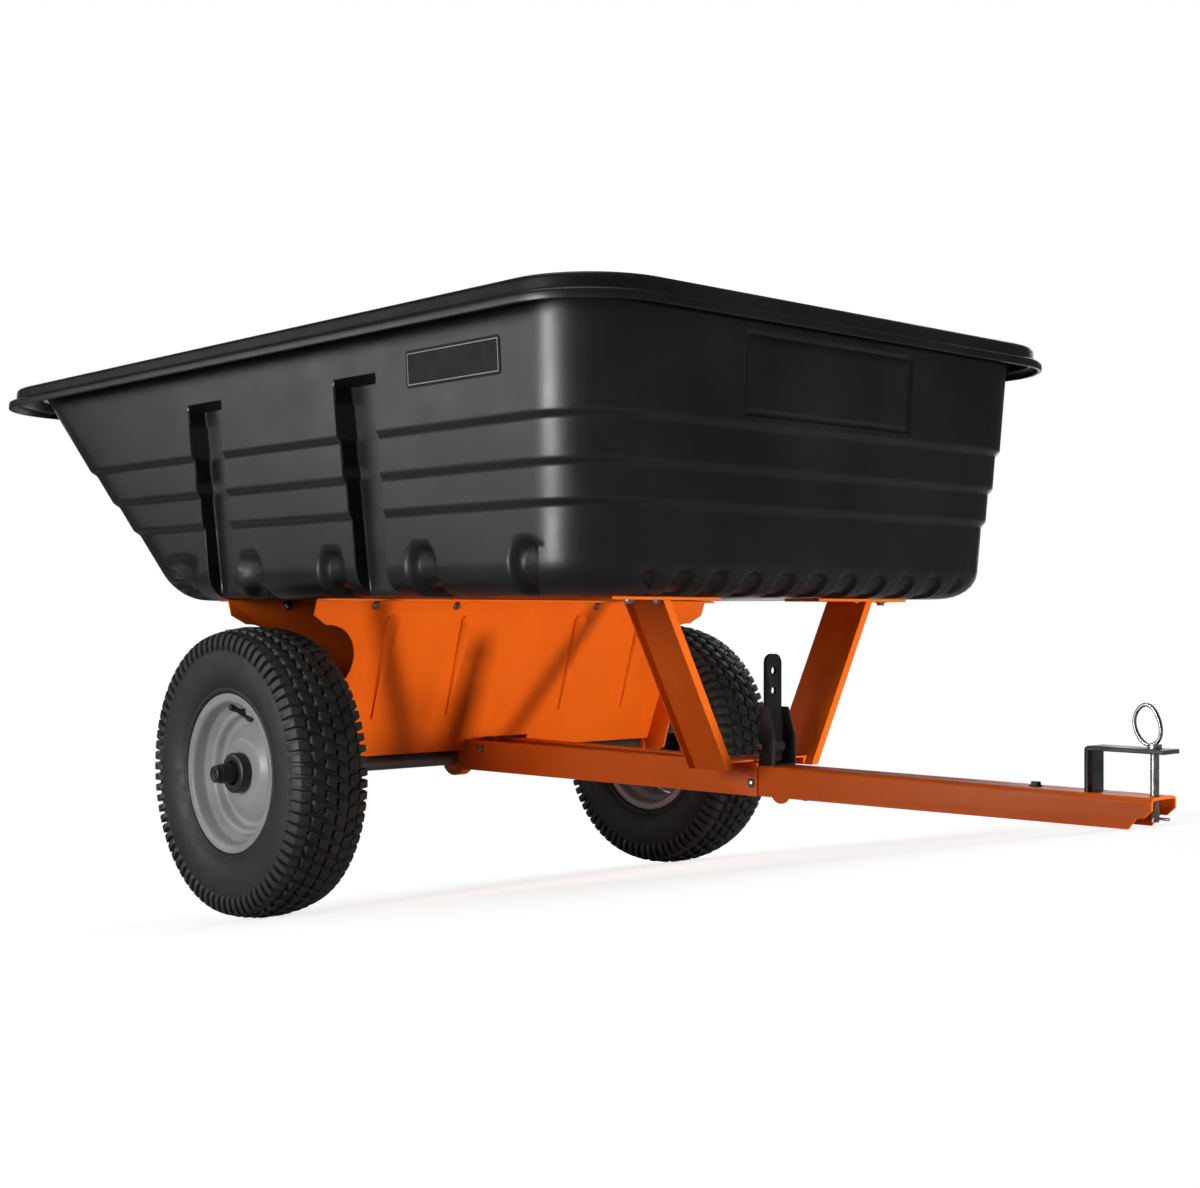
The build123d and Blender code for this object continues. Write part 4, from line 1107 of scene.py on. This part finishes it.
carriageBolts = {
    "bed": [((0.590, hand * y, 0.441), (0, 0, -1)) for hand in (-1, 1) for y in (0.196, 0.245)],
    "tongue": [
        ((0.064, -0.0545, 0.2215), (0, -1, 0)), ((0.064, 0.0545, 0.2215), (0, 1, 0)),
        ((0.594, -0.029, 0.204), (0, -1, 0)), ((0.594, 0.029, 0.204), (0, 1, 0))],
}
placeParts("padBolts", hexMesh(0.0062, 0.0050, 0.0078), carriageBolts["bed"], "bed", "zinc")
placeParts("railBolts", domeMesh(0.0060, 0.0034, 0.0), carriageBolts["tongue"], "tongue", "zinc")
tongueLow, tongueHigh = levelBox("tongue_front")
tongueBolt = [((1.003, 0, tongueHigh.z), (0, 0, 1), 15)]
placeParts("tongueBolt", hexMesh(0.0060, 0.0055, 0.0076), tongueBolt, "tongue", "black_paint")
print("ribs and bolts placed")

# finishes on the nodes that stay

def buildLabel(hand, sign, style):
    # a thin film plate that lies on the tub's leaning side
    low, high = levelBox("decal_" + hand)
    middle, half = (low + high) / 2, (high - low) / 2
    lean = style["draft"]
    across, up = half.x, half.z - style["thick"] * lean
    corners = [(-across, -up), (across, -up), (across, up), (-across, up)]
    outline = roundCorners(corners, style["corner"], 5)
    count = len(outline)
    vertices = []
    for proud, size in ((-0.0002, 1.0), (style["thick"] * 0.6, 1.0), (style["thick"], 0.994)):
        for px, pz in outline:
            y = middle.y + sign * (proud - half.y + up * lean) + sign * pz * lean
            vertices.append((middle.x + px * size, y, middle.z + pz * size))
    faces = [tuple(range(count - 1, -1, -1)), tuple(range(2 * count, 3 * count))]
    for level in (0, count):
        for k in range(count):
            m = (k + 1) % count
            faces.append((level + k, level + m, level + count + m, level + count + k))
    mesh = bpy.data.meshes.new("label")
    mesh.from_pydata(vertices, [], faces)
    tidyNormals(mesh)
    places = mesh.uv_layers.new(name="plate")
    for loop in mesh.loops:
        v = mesh.vertices[loop.vertex_index].co
        places.data[loop.index].uv = ((v.x - middle.x) / (2 * across) + 0.5, (v.z - middle.z) / (2 * up) + 0.5)
    piece = finishPiece("labelPlate_" + hand, mesh, "bed", "label")
    sharpEdges(piece.data, 30)
    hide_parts("decal_" + hand)


labelStyle = {
    "length": 0.182, "height": 0.046, "inset": 0.0040, "line": 0.0006, "ink": (0.42, 0.42, 0.41), "corner": 0.006,
    "thick": 0.001, "draft": 0.056,
}
materials["label"] = labelMaterial(labelStyle)
for hand, sign in (("right", -1), ("left", 1)):
    buildLabel(hand, sign, labelStyle)
for node, piece in frame["nodes"].items():
    piece.data.materials.clear()
    piece.data.materials.append(materials[slotOf[node]])
print("labels and finishes done")

# floor

floorStyle = {"size": 40.0, "colour": (0.62, 0.62, 0.62), "near": 1.5, "far": 4.0, "lift": 0.76}
floorMesh = bpy.data.meshes.new("studioFloor")
reach = floorStyle["size"]
floorCorners = [(-reach, -reach, 0), (reach, -reach, 0), (reach, reach, 0), (-reach, reach, 0)]
floorMesh.from_pydata(floorCorners, [], [(0, 1, 2, 3)])
floorMesh.materials.append(floorMaterial(floorStyle))
floor = bpy.data.objects.new("studioFloor", floorMesh)
floor.visible_shadow = False  # the low front lamp shines up past its edge
bpy.context.scene.collection.objects.link(floor)
